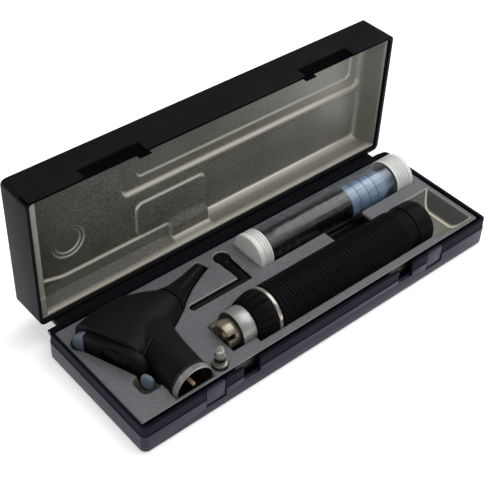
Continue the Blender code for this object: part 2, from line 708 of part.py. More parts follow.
def tray_pockets(grow, top):
    """Every pocket of the tray, grown outwards and reaching up to a level."""
    handle_front = circle_stations([(HANDLE_FRONT, COLLAR_RADIUS), (DIAL_START, COLLAR_RADIUS)])
    handle_body = circle_stations([(DIAL_START, DIAL_REAR_RADIUS), (HANDLE_END, DIAL_REAR_RADIUS)])
    tube = circle_stations([(TUBE_LEFT, TUBE_CAP_RADIUS), (TUBE_RIGHT, TUBE_CAP_RADIUS)])
    ring = circle_stations([(NECK_LENGTH / 2, SOCKET_RING_RADIUS), (NECK_FACE, SOCKET_RING_RADIUS)])
    slot_middle = (FRAME_FRONT + FRAME_REAR) / 2
    frame = [(along, slot_middle, FRAME_THICKNESS / 2 + GAP, FRAME_HALF_HEIGHT, 8)
             for along in (FRAME_FREE_END - FRAME_SLOT_PAST, FRAME_PIVOT + FRAME_PIVOT_RADIUS)]
    key_rod = [(along, KEY_CORNER_Y, KEY_ROD_RADIUS, KEY_ROD_RADIUS, 3)
               for along in (KEY_CORNER_X - KEY_ROD_LENGTH, KEY_CORNER_X)]
    key_arm = [(along, KEY_CORNER_X, KEY_ARM_HALF_WIDTH, KEY_ROD_RADIUS, 3)
               for along in (KEY_CORNER_Y - KEY_ROD_RADIUS, KEY_CORNER_Y + KEY_ARM_LENGTH)]

    def key_along_x(along, side, up):
        return Vector((along, side, KEY_AXIS + up))

    def key_along_y(along, side, up):
        return Vector((side, along, KEY_AXIS + up))

    tab_middle = FRAME_FREE_END - GRIP_TAB_OVERHANG + GRIP_TAB_LENGTH / 2
    free_tab = along_sight(FRAME_REAR - GRIP_TAB_HALF_DEPTH, tab_middle, 0)
    pivot_tab = along_sight(FRAME_FRONT, FRAME_PIVOT + FRAME_PIVOT_RADIUS * 0.6, 0)
    ridge_front = HANDLE_Y + GRIP_RADIUS * 0.8
    well_front = TRAY_FRONT + WELL_FRONT_RIM
    well_right = TRAY_HALF_LENGTH - WELL_SIDE_RIM
    knob_y = KEY_CORNER_Y + KEY_ARM_LENGTH
    return [
        trough(handle_front, along_handle, CONTENT_AXIS, grow, top),
        trough(handle_body, along_handle, CONTENT_AXIS, grow, top),
        trough(tube, along_tube, TUBE_AXIS, grow, top),
        trough(HEAD_STATIONS, along_sight, CONTENT_AXIS, grow, top),
        trough(NECK_STATIONS, along_neck, CONTENT_AXIS, grow, top),
        trough(circle_stations(SPECULUM_STOPS), along_sight, CONTENT_AXIS, grow, top),
        trough(ring, along_neck, CONTENT_AXIS, grow, top),
        trough(frame, across_head, CONTENT_AXIS, grow, top),
        trough(key_rod, key_along_x, KEY_AXIS, grow, top),
        trough(key_arm, key_along_y, KEY_AXIS, grow, top),
        disc(KEY_CORNER_X, knob_y, KEY_AXIS - KEY_KNOB_HALF - grow, top, KEY_KNOB_RADIUS + grow,
             COARSE_COUNT),
        disc(LAMP_X, LAMP_Y, LAMP_SEAT - grow, top, LAMP_FLANGE_RADIUS + grow, COARSE_COUNT),
        disc(free_tab.x, free_tab.y, SCOOP_FLOOR - grow, top, FREE_SCOOP_RADIUS + grow, COARSE_COUNT),
        disc(pivot_tab.x, pivot_tab.y, SCOOP_FLOOR - grow, top, PIVOT_SCOOP_RADIUS + grow, COARSE_COUNT),
        rounded_box(WELL_LEFT - grow, well_right + grow, well_front - grow,
                    TUBE_Y - WELL_BEFORE_TUBE + grow, WELL_FLOOR - grow, top, WELL_CORNER),
        box(NOTCH_LEFT - grow, NOTCH_RIGHT + grow, ridge_front - grow,
            TUBE_Y - TUBE_RADIUS * 0.8 + grow, NOTCH_FLOOR - grow, top),
    ]


def build_tray():
    """Tray in three sections end to end, each with its share of the pockets."""
    past = TRAY_HALF_LENGTH + CUT_PAST
    high = TRAY_TOP + CUT_PAST
    ends = (-past, *SECTION_ENDS, past)
    for name, start, end in zip(("tray_head_side", "tray_finger_side", "tray_well_side"), ends, ends[1:]):
        plate = rounded_box(-TRAY_HALF_LENGTH, TRAY_HALF_LENGTH, TRAY_FRONT, TRAY_BACK,
                            TRAY_TOP - SHEET, TRAY_TOP, CASE_CORNER - INNER_INSET)
        section = formed_sheet(name, "tray_sheet", plate,
                               tray_pockets(POCKET_CLEAR + SHEET, TRAY_TOP - SHEET / 2),
                               tray_pockets(POCKET_CLEAR, TRAY_TOP + CUT_PAST))
        beyond = []
        if start > -past:
            beyond.append(box(-past - CUT_PAST, start + GAP / 2, -HALF_WIDTH, HALF_WIDTH, 0, high))
        if end < past:
            beyond.append(box(end - GAP / 2, past + CUT_PAST, -HALF_WIDTH, HALF_WIDTH, 0, high))
        boolean(section, "DIFFERENCE", "beyond", beyond)


def liner_pockets(grow, mouth):
    """Stepped pockets of the lid liner on the closed case, opening down to a level."""
    left = -HALF_LENGTH + INNER_INSET + LINER_SIDE_FLANGE
    right = -left
    latch_side = -HALF_WIDTH + INNER_INSET + LINER_LATCH_FLANGE
    hinge_side = HALF_WIDTH - INNER_INSET - LINER_HINGE_FLANGE
    panel = LINER_PANEL_DEPTH
    middle_start = LEFT_END + MIDDLE_SHELF_FROM_END
    tube_start = LEFT_END + TUBE_PANEL_FROM_END
    steps = [
        (left, right, latch_side, TRAY_BACK - LINER_PANEL_RIM, panel),
        (left, middle_start, 0, hinge_side, HINGE_SHELF_DEPTH),
        (middle_start - 3 * LINER_CORNER, right, 0, hinge_side, MIDDLE_SHELF_DEPTH),
        (tube_start, right, 0, hinge_side, panel),
        (tube_start, right - PANEL_END_RIM, TUBE_PANEL_FRONT, hinge_side - TUBE_PANEL_RIM,
         panel + TUBE_PANEL_DEPTH),
        (LEFT_END + KEY_PANEL_FROM_END, tube_start + LINER_CORNER, KEY_PANEL_FRONT, TRAY_BACK - KEY_PANEL_RIM,
         panel + KEY_PANEL_DEPTH),
    ]
    for start, rim, back, depth in zip(TERRACES_FROM_END, TERRACE_END_RIMS, TERRACE_BACKS, TERRACE_DEPTHS):
        steps.append((LEFT_END + start, right - rim, latch_side, back, panel + depth))
    shapes = []
    for x0, x1, y0, y1, depth in steps:
        shapes.append(opened(rounded_box(x0 - grow, x1 + grow, y0 - grow, y1 + grow, mouth,
                                         LID_RIM + depth + grow, LINER_CORNER + grow)))
    return shapes


def build_liner():
    inset = INNER_INSET + GAP
    face = LID_RIM + LINER_DEPTH
    plate = opened(rounded_box(-HALF_LENGTH + inset, HALF_LENGTH - inset, -HALF_WIDTH + inset,
                               HALF_WIDTH - inset, face, face + SHEET, CASE_CORNER - INNER_INSET))
    liner = formed_sheet("lid_liner", "liner_sheet", plate, liner_pockets(SHEET, face + SHEET / 2),
                         liner_pockets(0, face - CUT_PAST), (0, HINGE_Y, HINGE_Z))
    floor = LID_RIM + LINER_PANEL_DEPTH
    boss = opened(disc(LEFT_END + BOSS_FROM_END, BOSS_Y, floor - BOSS_RISE, floor + SHEET / 2, BOSS_RADIUS))
    boolean(liner, "UNION", "boss", [boss])


def build_handle():
    def fluted(facet, radius):
        if radius < DIAL_FRONT_RADIUS:
            return radius
        phase = 2 * math.pi * facet * DIAL_FLUTES / FINE_COUNT
        return radius - DIAL_FLUTE_DEPTH * (1 - math.cos(phase)) / 2

    spigot = part("handle_spigot", turned(pipe_profile(
        HANDLE_FRONT, COLLAR_START - GAP, SPIGOT_RADIUS, SPIGOT_RADIUS - SPIGOT_WALL),
        along_handle, MEDIUM_COUNT), "chrome")
    notches = []
    for number in range(SPIGOT_NOTCHES):
        angle = 2 * math.pi * (number + 0.5) / SPIGOT_NOTCHES
        notch = box(HANDLE_FRONT - CUT_PAST, HANDLE_FRONT + SPIGOT_LENGTH / 2, -SPIGOT_NOTCH_WIDTH / 2,
                    SPIGOT_NOTCH_WIDTH / 2, SPIGOT_RADIUS / 2, SPIGOT_RADIUS + CUT_PAST)
        bmesh.ops.rotate(notch, verts=notch.verts, matrix=Matrix.Rotation(angle, 3, "X"))
        bmesh.ops.translate(notch, verts=notch.verts, vec=(0, HANDLE_Y, CONTENT_AXIS))
        notches.append(notch)
    boolean(spigot, "DIFFERENCE", "notches", notches)
    collar_end = COLLAR_START + COLLAR_LENGTH
    stem_end = GRIP_START + GRIP_FRONT_WALL
    part("handle_collar", turned([
        (COLLAR_START, STEM_BORE), (COLLAR_START, COLLAR_RADIUS - GAP),
        (COLLAR_START + GAP, COLLAR_RADIUS), (collar_end - GAP, COLLAR_RADIUS),
        (collar_end, COLLAR_RADIUS - GAP), (collar_end, STEM_RADIUS), (stem_end, STEM_RADIUS),
        (stem_end, STEM_BORE)], along_handle, MEDIUM_COUNT), "satin_metal")
    dial_end = DIAL_START + DIAL_LENGTH
    dial_bore = STEM_RADIUS + GAP
    part("brightness_dial", turned([
        (DIAL_START, dial_bore), (DIAL_START, DIAL_FRONT_RADIUS - 2 * GAP),
        (DIAL_START + 2 * GAP, DIAL_FRONT_RADIUS), (DIAL_START + DIAL_LENGTH * 0.75, DIAL_REAR_RADIUS),
        (dial_end, DIAL_REAR_RADIUS), (dial_end, dial_bore)], along_handle, FINE_COUNT, fluted),
        "grip_black", along_handle(DIAL_START, 0, 0))
    part("trim_ring", turned(pipe_profile(TRIM_START, TRIM_START + TRIM_LENGTH, TRIM_RADIUS, dial_bore),
                             along_handle, FINE_COUNT), "chrome")
    rib_end = GRIP_END - GRIP_SMOOTH_END
    smooth = GRIP_RADIUS - GRIP_RIB_DEPTH

    def ribbed(facet, radius):
        return radius - GRIP_RIB_DEPTH * (facet % 2) if radius == GRIP_RADIUS else radius

    part("grip_sleeve", turned([
        (GRIP_START, dial_bore), (GRIP_START, smooth), (GRIP_START + GAP, GRIP_RADIUS),
        (rib_end, GRIP_RADIUS), (rib_end + GAP, smooth), (GRIP_END, smooth),
        (GRIP_END, BATTERY_RADIUS + GAP), (stem_end, BATTERY_RADIUS + GAP), (stem_end, dial_bore)],
        along_handle, GRIP_RIBS * 2, ribbed), "grip_black")
    sleeve_end = stem_end - GAP
    part("handle_insulator", turned(pipe_profile(
        COLLAR_START - SPIGOT_LENGTH / 2, sleeve_end, STEM_BORE - GAP, CONTACT_RADIUS + GAP),
        along_handle, COARSE_COUNT), "insulator")
    part("handle_contact", turned(rod_profile(
        HANDLE_FRONT + CONTACT_SETBACK, stem_end, CONTACT_RADIUS, CONTACT_RADIUS / 3),
        along_handle, COARSE_COUNT), "brass")
    for number in range(2):
        start = BATTERY_START + number * (BATTERY_LENGTH + GAP)
        end = start + BATTERY_LENGTH
        shoulder = start + BATTERY_BUTTON
        part(f"battery_{number + 1}", turned([
            (start, 0), (start, BATTERY_RADIUS / 4), (shoulder, BATTERY_RADIUS / 4),
            (shoulder, BATTERY_RADIUS), (end, BATTERY_RADIUS), (end, 0)],
            along_handle, MEDIUM_COUNT), "battery")
    cap_bore = END_CAP_RADIUS - END_CAP_WALL
    cap_floor = HANDLE_END - END_CAP_WALL
    part("end_cap", turned([
        (cap_floor, 0), (cap_floor, cap_bore), (END_CAP_START, cap_bore),
        (END_CAP_START, END_CAP_RADIUS - GAP), (END_CAP_START + GAP, END_CAP_RADIUS),
        (HANDLE_END - END_CAP_ROUND, END_CAP_RADIUS),
        (HANDLE_END - END_CAP_ROUND * 0.3, END_CAP_RADIUS - END_CAP_ROUND * 0.3),
        (HANDLE_END, END_CAP_RADIUS - END_CAP_ROUND), (HANDLE_END, 0)],
        along_handle, FINE_COUNT), "grip_black", along_handle(END_CAP_START, 0, 0))
    helix("battery_spring", "steel", BATTERY_END + GAP, cap_floor - GAP, BATTERY_RADIUS / 2, SPRING_WIRE,
          SPRING_TURNS, along_handle)


def build_head():
    housing = part("head_housing", oval_loft(HEAD_STATIONS, along_sight, FINE_COUNT), "head_black",
                   HEAD_ORIGIN)
    nozzle_end = HEAD_FRONT + NOZZLE_LENGTH
    nozzle = turned(rod_profile(0, nozzle_end, NOZZLE_RADIUS), along_sight, MEDIUM_COUNT)
    boolean(housing, "UNION", "neck", [oval_loft(NECK_STATIONS, along_neck, FINE_COUNT), nozzle])
    sight = turned([
        (HEAD_REAR - CUT_PAST, 0), (HEAD_REAR - CUT_PAST, LENS_CHAMBER_RADIUS),
        (HEAD_REAR / 2, LENS_CHAMBER_RADIUS), (HEAD_FRONT * 0.4, SIGHT_BORE_RADIUS * 1.5),
        (HEAD_FRONT, SIGHT_BORE_RADIUS), (nozzle_end + CUT_PAST, SIGHT_BORE_RADIUS),
        (nozzle_end + CUT_PAST, 0)], along_sight, MEDIUM_COUNT)
    socket = turned([
        (0, 0), (0, LAMP_BORE_RADIUS), (SOCKET_FLOOR, LAMP_BORE_RADIUS), (SOCKET_FLOOR, SOCKET_RADIUS),
        (NECK_LENGTH + CUT_PAST, SOCKET_RADIUS), (NECK_LENGTH + CUT_PAST, 0)], along_neck, MEDIUM_COUNT)
    pivot_hole = turned(rod_profile(HEAD_REAR - CUT_PAST, HEAD_REAR + PIVOT_PIN_DEPTH + GAP,
                                    PIVOT_PIN_RADIUS + GAP),
                        along_pivot, SMALL_COUNT)
    boolean(housing, "DIFFERENCE", "bores", [sight, socket, pivot_hole])

    def knurled(facet, radius):
        return radius - SOCKET_RING_TOOTH * (facet % 2) if radius == SOCKET_RING_RADIUS else radius

    part("socket_ring", turned([
        (RING_START, SOCKET_RADIUS), (RING_START, SOCKET_RING_RADIUS - GAP),
        (RING_START + GAP, SOCKET_RING_RADIUS), (NECK_FACE - GAP, SOCKET_RING_RADIUS),
        (NECK_FACE, SOCKET_RING_RADIUS - 2 * GAP), (NECK_FACE, SOCKET_RADIUS)],
        along_neck, SOCKET_RING_TEETH * 2, knurled), "satin_metal")
    lamp_top = SOCKET_FLOOR - HEAD_LAMP_LENGTH
    lamp_radius = LAMP_BORE_RADIUS - GAP
    disc_start = SOCKET_FLOOR - GAP - CONTACT_DISC_LENGTH
    part("lamp_contact_disc", turned(pipe_profile(
        disc_start, disc_start + CONTACT_DISC_LENGTH, lamp_radius, HEAD_PIN_RADIUS + GAP),
        along_neck, COARSE_COUNT), "insulator")
    part("lamp_contact_pin", turned(rod_profile(
        disc_start, NECK_FACE - HEAD_PIN_SETBACK, HEAD_PIN_RADIUS, HEAD_PIN_RADIUS / 3),
        along_neck, SMALL_COUNT), "brass")
    part("head_lamp_base", turned(rod_profile(lamp_top, disc_start - GAP, lamp_radius, GAP),
                                  along_neck, COARSE_COUNT), "satin_metal")
    glass_top = lamp_top - HEAD_GLASS_LENGTH
    part("head_lamp_glass", turned([
        (glass_top, 0), (glass_top + HEAD_GLASS_LENGTH * 0.15, LAMP_GLASS_RADIUS * 0.67),
        (glass_top + HEAD_GLASS_LENGTH * 0.4, LAMP_GLASS_RADIUS), (lamp_top - GAP, LAMP_GLASS_RADIUS),
        (lamp_top - GAP, 0)], along_neck, COARSE_COUNT), "glass")
    outer = [(along, radius) for along, radius in SPECULUM_STOPS]
    inner = [(along, radius - SPECULUM_WALL) for along, radius in reversed(SPECULUM_STOPS)]
    part("speculum", turned(outer + inner, along_sight, MEDIUM_COUNT), "head_black",
         along_sight(HEAD_FRONT, 0, 0))


def build_magnifier():
    pivot = along_pivot(FRAME_REAR, 0, 0)
    end_side = FRAME_PIVOT + PIVOT_SHOE_START
    end_half = math.sqrt(FRAME_PIVOT_RADIUS ** 2 - PIVOT_SHOE_START ** 2)
    outline = [(end_side, -end_half), (end_side, end_half)]
    corner = FRAME_CORNER
    for quarter, height in ((1, FRAME_HALF_HEIGHT - corner), (2, corner - FRAME_HALF_HEIGHT)):
        for i in range(7):
            angle = math.pi / 2 * (quarter + i / 6)
            outline.append((FRAME_FREE_END + corner + corner * math.cos(angle),
                            height + corner * math.sin(angle)))
    plate = loft([[along_sight(along, side, up) for side, up in outline]
                  for along in (FRAME_REAR, FRAME_FRONT)])
    frame = part("lens_frame", plate, "head_black", pivot)
    seat = turned(rod_profile(FRAME_REAR - CUT_PAST, FRAME_FRONT + CUT_PAST, LENS_RADIUS + GAP),
                  along_sight, MEDIUM_COUNT)
    hole = turned(rod_profile(FRAME_REAR - CUT_PAST, FRAME_FRONT + CUT_PAST, PIVOT_PIN_RADIUS + GAP),
                  along_pivot, SMALL_COUNT)
    boolean(frame, "DIFFERENCE", "seats", [seat, hole])
    edge_rear = (FRAME_REAR + FRAME_FRONT - LENS_EDGE) / 2
    edge_front = edge_rear + LENS_EDGE
    part("magnifier_lens", turned([
        (edge_rear - LENS_BULGE, 0), (edge_rear - LENS_BULGE * 0.75, LENS_RADIUS / 2),
        (edge_rear, LENS_RADIUS), (edge_front, LENS_RADIUS),
        (edge_front + LENS_BULGE * 0.6, LENS_RADIUS / 2), (edge_front + LENS_BULGE * 0.8, 0)],
        along_sight, MEDIUM_COUNT), "glass", pivot)
    tab_middle = FRAME_REAR - GAP - GRIP_TAB_HALF_DEPTH
    tab_start = FRAME_FREE_END - GRIP_TAB_OVERHANG
    tab = [(tab_start + GRIP_TAB_LENGTH * part_way, tab_middle, GRIP_TAB_HALF_DEPTH * size,
            GRIP_TAB_HALF_HEIGHT * size, GRIP_TAB_POWER)
           for part_way, size in ((0, 0.6), (0.15, 0.9), (0.35, 1), (0.65, 1), (0.85, 0.9), (1, 0.6))]
    part("magnifier_tab", oval_loft(tab, across_head, COARSE_COUNT), "tab_grey", pivot)
    reach = math.acos((PIVOT_SHOE_START + GAP) / FRAME_PIVOT_RADIUS)
    shoe = []
    for i in range(15):
        angle = -reach + 2 * reach * i / 14
        shoe.append((FRAME_PIVOT + FRAME_PIVOT_RADIUS * math.cos(angle),
                     FRAME_PIVOT_RADIUS * math.sin(angle)))
    part("pivot_shoe", loft([[along_sight(along, side, up) for side, up in shoe]
                             for along in (FRAME_REAR, FRAME_FRONT)]), "tab_grey", pivot)
    part("pivot_pin", turned(rod_profile(FRAME_REAR, HEAD_REAR + PIVOT_PIN_DEPTH, PIVOT_PIN_RADIUS),
                             along_pivot, SMALL_COUNT), "steel")


def build_tube():
    inside = TUBE_LEFT + TUBE_CAP_FLOOR + GAP
    far_inside = TUBE_RIGHT - TUBE_CAP_FLOOR - GAP
    part("specula_tube", turned(pipe_profile(inside, far_inside, TUBE_RADIUS, TUBE_BORE), along_tube,
                                FINE_COUNT), "clear")
    cap_bore = TUBE_RADIUS + GAP
    groove_radius = TUBE_CAP_RADIUS - CAP_GROOVE_DEPTH

    def cap(name, face, length, grooves):
        way = 1 if length > 0 else -1
        floor = face + way * TUBE_CAP_FLOOR
        lip = face + length
        edge = way * CAP_GROOVE_DEPTH
        profile = [(face, 0), (face, groove_radius), (face + edge, TUBE_CAP_RADIUS)]
        first = face + 6 * edge
        pitch = (lip - first) / grooves
        for number in range(grooves):
            start = first + number * pitch
            profile += [(start, TUBE_CAP_RADIUS), (start + pitch * 0.25, groove_radius),
                        (start + pitch * 0.75, groove_radius)]
        profile += [(lip, TUBE_CAP_RADIUS - CAP_GROOVE_DEPTH / 2), (lip, cap_bore), (floor, cap_bore),
                    (floor, 0)]
        part(name, turned(profile, along_tube, MEDIUM_COUNT), "cap_white", along_tube(face, 0, 0))

    cap("tube_cap_left", TUBE_LEFT, LEFT_CAP_LENGTH, LEFT_CAP_GROOVES)
    cap("tube_cap_right", TUBE_RIGHT, -RIGHT_CAP_LENGTH, RIGHT_CAP_GROOVES)
    for number in range(STACK_BLACK + STACK_BLUE):
        colour = "black" if number < STACK_BLACK else "blue"
        place_in_colour = number + 1 if number < STACK_BLACK else number + 1 - STACK_BLACK
        rim = TUBE_LEFT + LEFT_CAP_LENGTH + STACK_FROM_CAP + number * STACK_PITCH
        shoulder = rim + STACK_COLLAR
        tip = rim + STACK_LENGTH
        part(f"ear_speculum_{colour}_{place_in_colour}", turned([
            (rim, STACK_RIM_RADIUS), (shoulder, STACK_RIM_RADIUS), (shoulder, STACK_CONE_RADIUS),
            (tip, STACK_TIP_RADIUS), (tip, STACK_TIP_RADIUS - STACK_WALL),
            (shoulder - STACK_WALL, STACK_CONE_RADIUS - STACK_WALL),
            (shoulder - STACK_WALL, STACK_RIM_RADIUS - STACK_WALL), (rim, STACK_RIM_RADIUS - STACK_WALL)],
            along_tube, SMALL_COUNT), f"specula_{colour}")


def build_lamp():
    part("spare_lamp_flange", turned([
        (LAMP_SEAT, 0), (LAMP_SEAT, LAMP_BODY_RADIUS), (TRAY_TOP, LAMP_BODY_RADIUS),
        (TRAY_TOP, LAMP_FLANGE_RADIUS), (LAMP_FLANGE_TOP, LAMP_FLANGE_RADIUS), (LAMP_FLANGE_TOP, 0)],
        upright_lamp, COARSE_COUNT), "satin_metal")
    start = LAMP_FLANGE_TOP + GAP
    span = LAMP_BODY_TOP - start
    waist = LAMP_BODY_RADIUS * 0.82
    part("spare_lamp_sleeve", turned([
        (start, 0), (start, LAMP_BODY_RADIUS), (start + span * 0.2, LAMP_BODY_RADIUS),
        (start + span * 0.3, waist), (start + span * 0.6, waist), (start + span * 0.7, LAMP_BODY_RADIUS),
        (start + span * 0.85, LAMP_BODY_RADIUS), (LAMP_BODY_TOP, waist), (LAMP_BODY_TOP, 0)],
        upright_lamp, COARSE_COUNT), "chrome")
    glass = LAMP_BODY_TOP + GAP
    height = LAMP_TOP - glass
    part("spare_lamp_glass", turned([
        (glass, 0), (glass, LAMP_GLASS_RADIUS), (glass + height * 0.5, LAMP_GLASS_RADIUS),
        (glass + height * 0.8, LAMP_GLASS_RADIUS * 0.75), (glass + height * 0.95, LAMP_GLASS_RADIUS * 0.35),
        (LAMP_TOP, 0)], upright_lamp, COARSE_COUNT), "glass")


def build_key():
    def rod_place(along, side, up):
        return Vector((along, KEY_CORNER_Y + side, KEY_AXIS + up))

    def arm_place(along, side, up):
        return Vector((KEY_CORNER_X + side, along, KEY_AXIS + up))

    rod = turned(rod_profile(KEY_CORNER_X - KEY_ROD_LENGTH, KEY_CORNER_X, KEY_ROD_RADIUS, GAP),
                 rod_place, SMALL_COUNT)
    key = part("lamp_key", rod, "head_black")
    arm = [(along, 0, KEY_ARM_HALF_WIDTH, KEY_ROD_RADIUS * 0.98, 3)
           for along in (KEY_CORNER_Y - KEY_ROD_RADIUS, KEY_CORNER_Y + KEY_ARM_LENGTH)]
    knob = disc(KEY_CORNER_X, KEY_CORNER_Y + KEY_ARM_LENGTH, KEY_AXIS - KEY_KNOB_HALF,
                KEY_AXIS + KEY_KNOB_HALF, KEY_KNOB_RADIUS, COARSE_COUNT)
    boolean(key, "UNION", "arm", [oval_loft(arm, arm_place, COARSE_COUNT), knob])


build_base()
build_tray()
build_lid()
build_liner()
build_head()
build_magnifier()
build_handle()
build_tube()
build_lamp()
build_key()
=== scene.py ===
import math

import bpy
import numpy as np
from mathutils import Matrix, Vector


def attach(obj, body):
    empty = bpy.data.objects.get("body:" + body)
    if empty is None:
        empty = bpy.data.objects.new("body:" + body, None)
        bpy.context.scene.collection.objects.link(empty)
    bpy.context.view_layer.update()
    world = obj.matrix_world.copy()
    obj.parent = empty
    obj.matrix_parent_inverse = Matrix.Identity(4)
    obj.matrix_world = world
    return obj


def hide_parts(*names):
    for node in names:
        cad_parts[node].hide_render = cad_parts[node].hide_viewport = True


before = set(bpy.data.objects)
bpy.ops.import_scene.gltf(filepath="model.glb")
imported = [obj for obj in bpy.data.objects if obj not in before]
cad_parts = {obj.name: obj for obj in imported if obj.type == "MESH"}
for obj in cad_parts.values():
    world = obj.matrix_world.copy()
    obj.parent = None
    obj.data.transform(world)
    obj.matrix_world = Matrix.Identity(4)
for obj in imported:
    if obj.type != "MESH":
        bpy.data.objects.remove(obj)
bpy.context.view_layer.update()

# Camera: a long lens above the front left corner of the case, turned a little about its own axis.
# Its place was fitted to the corners of the case.
IMAGE_WIDTH = 490
FOCAL_PIXELS = 1086.7384
SENSOR_WIDTH = 36
azimuth = math.radians(-42.39814)
height = math.radians(42.10187)
roll = math.radians(2.85241)
back = Vector((math.sin(azimuth) * math.cos(height), -math.cos(azimuth) * math.cos(height),
               math.sin(height)))
level = Vector((math.cos(azimuth), math.sin(azimuth), 0))
rise = back.cross(level)
right = math.cos(roll) * level + math.sin(roll) * rise
above = math.cos(roll) * rise - math.sin(roll) * level
eye = Vector((-0.33265561, -0.33107885, 0.46226788))
camera_data = bpy.data.cameras.new("camera")
camera_data.sensor_width = SENSOR_WIDTH
camera_data.lens = SENSOR_WIDTH * FOCAL_PIXELS / IMAGE_WIDTH
camera_data.clip_start = 0.01
camera = bpy.data.objects.new("camera", camera_data)
camera.matrix_world = Matrix(((right.x, above.x, back.x, eye.x), (right.y, above.y, back.y, eye.y),
                              (right.z, above.z, back.z, eye.z), (0, 0, 0, 1)))
bpy.context.scene.collection.objects.link(camera)
bpy.context.scene.camera = camera
bpy.context.scene.view_settings.view_transform = "Standard"


# Studio: a white floor that keeps a soft shadow, a white surround and three soft lamps.
# The surround is full white to the camera and through clear pieces, and dim in reflections.
class Value:
    """A socket in a node tree. Sums and products of values add Math nodes."""

    def __init__(self, owner, socket):
        self.owner = owner
        self.socket = socket

    def math(self, operation, first, second):
        return self.owner.node("ShaderNodeMath", {"operation": operation}, {0: first, 1: second})

    def __add__(self, other):
        return self.math("ADD", self, other)

    def __radd__(self, other):
        return self.math("ADD", other, self)

    def __sub__(self, other):
        return self.math("SUBTRACT", self, other)

    def __rsub__(self, other):
        return self.math("SUBTRACT", other, self)

    def __mul__(self, other):
        return self.math("MULTIPLY", self, other)

    def __gt__(self, other):
        return self.math("GREATER_THAN", self, other)

    def __lt__(self, other):
        return self.math("LESS_THAN", self, other)


class Finish:
    """A material, or the surround, with its nodes."""

    def __init__(self, name, fixed=None, owner=None):
        self.owner = owner or bpy.data.materials.new(name)
        self.owner.use_nodes = True
        self.tree = self.owner.node_tree
        self.shader = self.tree.nodes.get("Principled BSDF")
        for socket, value in (fixed or {}).items():
            self.shader.inputs[socket].default_value = value

    def node(self, kind, settings, sockets, output=0):
        """Add a node: its settings are set first, then the values or links of its sockets."""
        made = self.tree.nodes.new(kind)
        for name, value in settings.items():
            setattr(made, name, value)
        for name, value in sockets.items():
            if isinstance(value, Value):
                self.tree.links.new(value.socket, made.inputs[name])
            else:
                made.inputs[name].default_value = value
        return Value(self, made.outputs[output])

    def feed(self, socket, value):
        self.tree.links.new(value.socket, self.shader.inputs[socket])

    def place(self):
        return self.node("ShaderNodeTexCoord", {}, {}, "Object")

    def axis(self, letter):
        """One object coordinate, in millimetres."""
        return self.node("ShaderNodeSeparateXYZ", {}, {0: self.place()}, letter) * 1000

    def between(self, letter, low, high):
        """1 where an object coordinate in millimetres lies between two values."""
        return (self.axis(letter) > low) * (self.axis(letter) < high)

    def noise(self, spacing, detail, stretch=(1, 1, 1)):
        """Noise with features of about a spacing in metres, drawn out along an axis by stretch."""
        where = self.node("ShaderNodeMapping", {}, {"Vector": self.place(), "Scale": stretch})
        return self.node("ShaderNodeTexNoise", {}, {
            "Vector": where, "Scale": 1 / spacing, "Detail": detail})

    def mix(self, amount, first, second):
        """A colour between two; the numbers are the colour sockets of the Mix node."""
        return self.node("ShaderNodeMix", {"data_type": "RGBA"},
                         {0: amount, 6: first, 7: second}, 2)

    def bump(self, height, depth):
        self.feed("Normal", self.node("ShaderNodeBump", {}, {"Height": height, "Distance": depth}))


world = bpy.data.worlds.new("surround")
bpy.context.scene.world = world
surround = Finish("surround", owner=world)
ROOM_LIGHT = 0.5
MIRROR_DIMMING = 0.34
seen, mirrored, through = [surround.node("ShaderNodeLightPath", {}, {}, f"Is {ray} Ray")
                           for ray in ("Camera", "Glossy", "Transmission")]
direct = seen.math("MAXIMUM", seen, through)
strength = ROOM_LIGHT + direct * (1 - ROOM_LIGHT) - mirrored * (1 - through) * MIRROR_DIMMING
backdrop = surround.tree.nodes["Background"]
surround.tree.links.new(strength.socket, backdrop.inputs["Strength"])
backdrop.inputs["Color"].default_value = (1, 1, 1, 1)

bpy.ops.mesh.primitive_plane_add(size=6, location=(0, 0, -0.0002))
floor = bpy.context.object
floor.name = "floor"
floor_finish = Finish("floor_white", {
    "Base Color": (0.8, 0.8, 0.8, 1), "Roughness": 0.9, "Specular IOR Level": 0.0,
    "Emission Color": (1, 1, 1, 1), "Emission Strength": 0.35})
floor.data.materials.append(floor_finish.owner)

for name, place, aim, size, power, mirrors in (
        ("lamp_over", (0.2, 0.1, 1.1), (0, 0.02, 0.03), 0.9, 8, False),
        ("lamp_left", (-0.9, -0.5, 0.75), (0, 0, 0.05), 0.6, 3, False),
        ("lamp_right", (0.7, -0.1, 0.9), (0, 0.02, 0.05), 1.1, 6, True)):
    lamp_data = bpy.data.lights.new(name, "AREA")
    lamp_data.size = size
    lamp_data.energy = power
    lamp = bpy.data.objects.new(name, lamp_data)
    lamp.location = place
    lamp.rotation_euler = (Vector(aim) - Vector(place)).to_track_quat("-Z", "Y").to_euler()
    lamp.visible_glossy = mirrors
    bpy.context.scene.collection.objects.link(lamp)

# Base of the case: a shallow box moulded in black plastic, with a stepped band round its outside.
# Its arrises are rounded as a mould leaves them, and its skin has a fine eroded grain.
MM = 0.001


def clear_selection():
    if bpy.context.object and bpy.context.object.mode != "OBJECT":
        bpy.ops.object.mode_set(mode="OBJECT")
    bpy.ops.object.select_all(action="DESELECT")


def pick(piece):
    """Make a piece the active one, with nothing else selected."""
    clear_selection()
    piece.select_set(True)
    bpy.context.view_layer.objects.active = piece


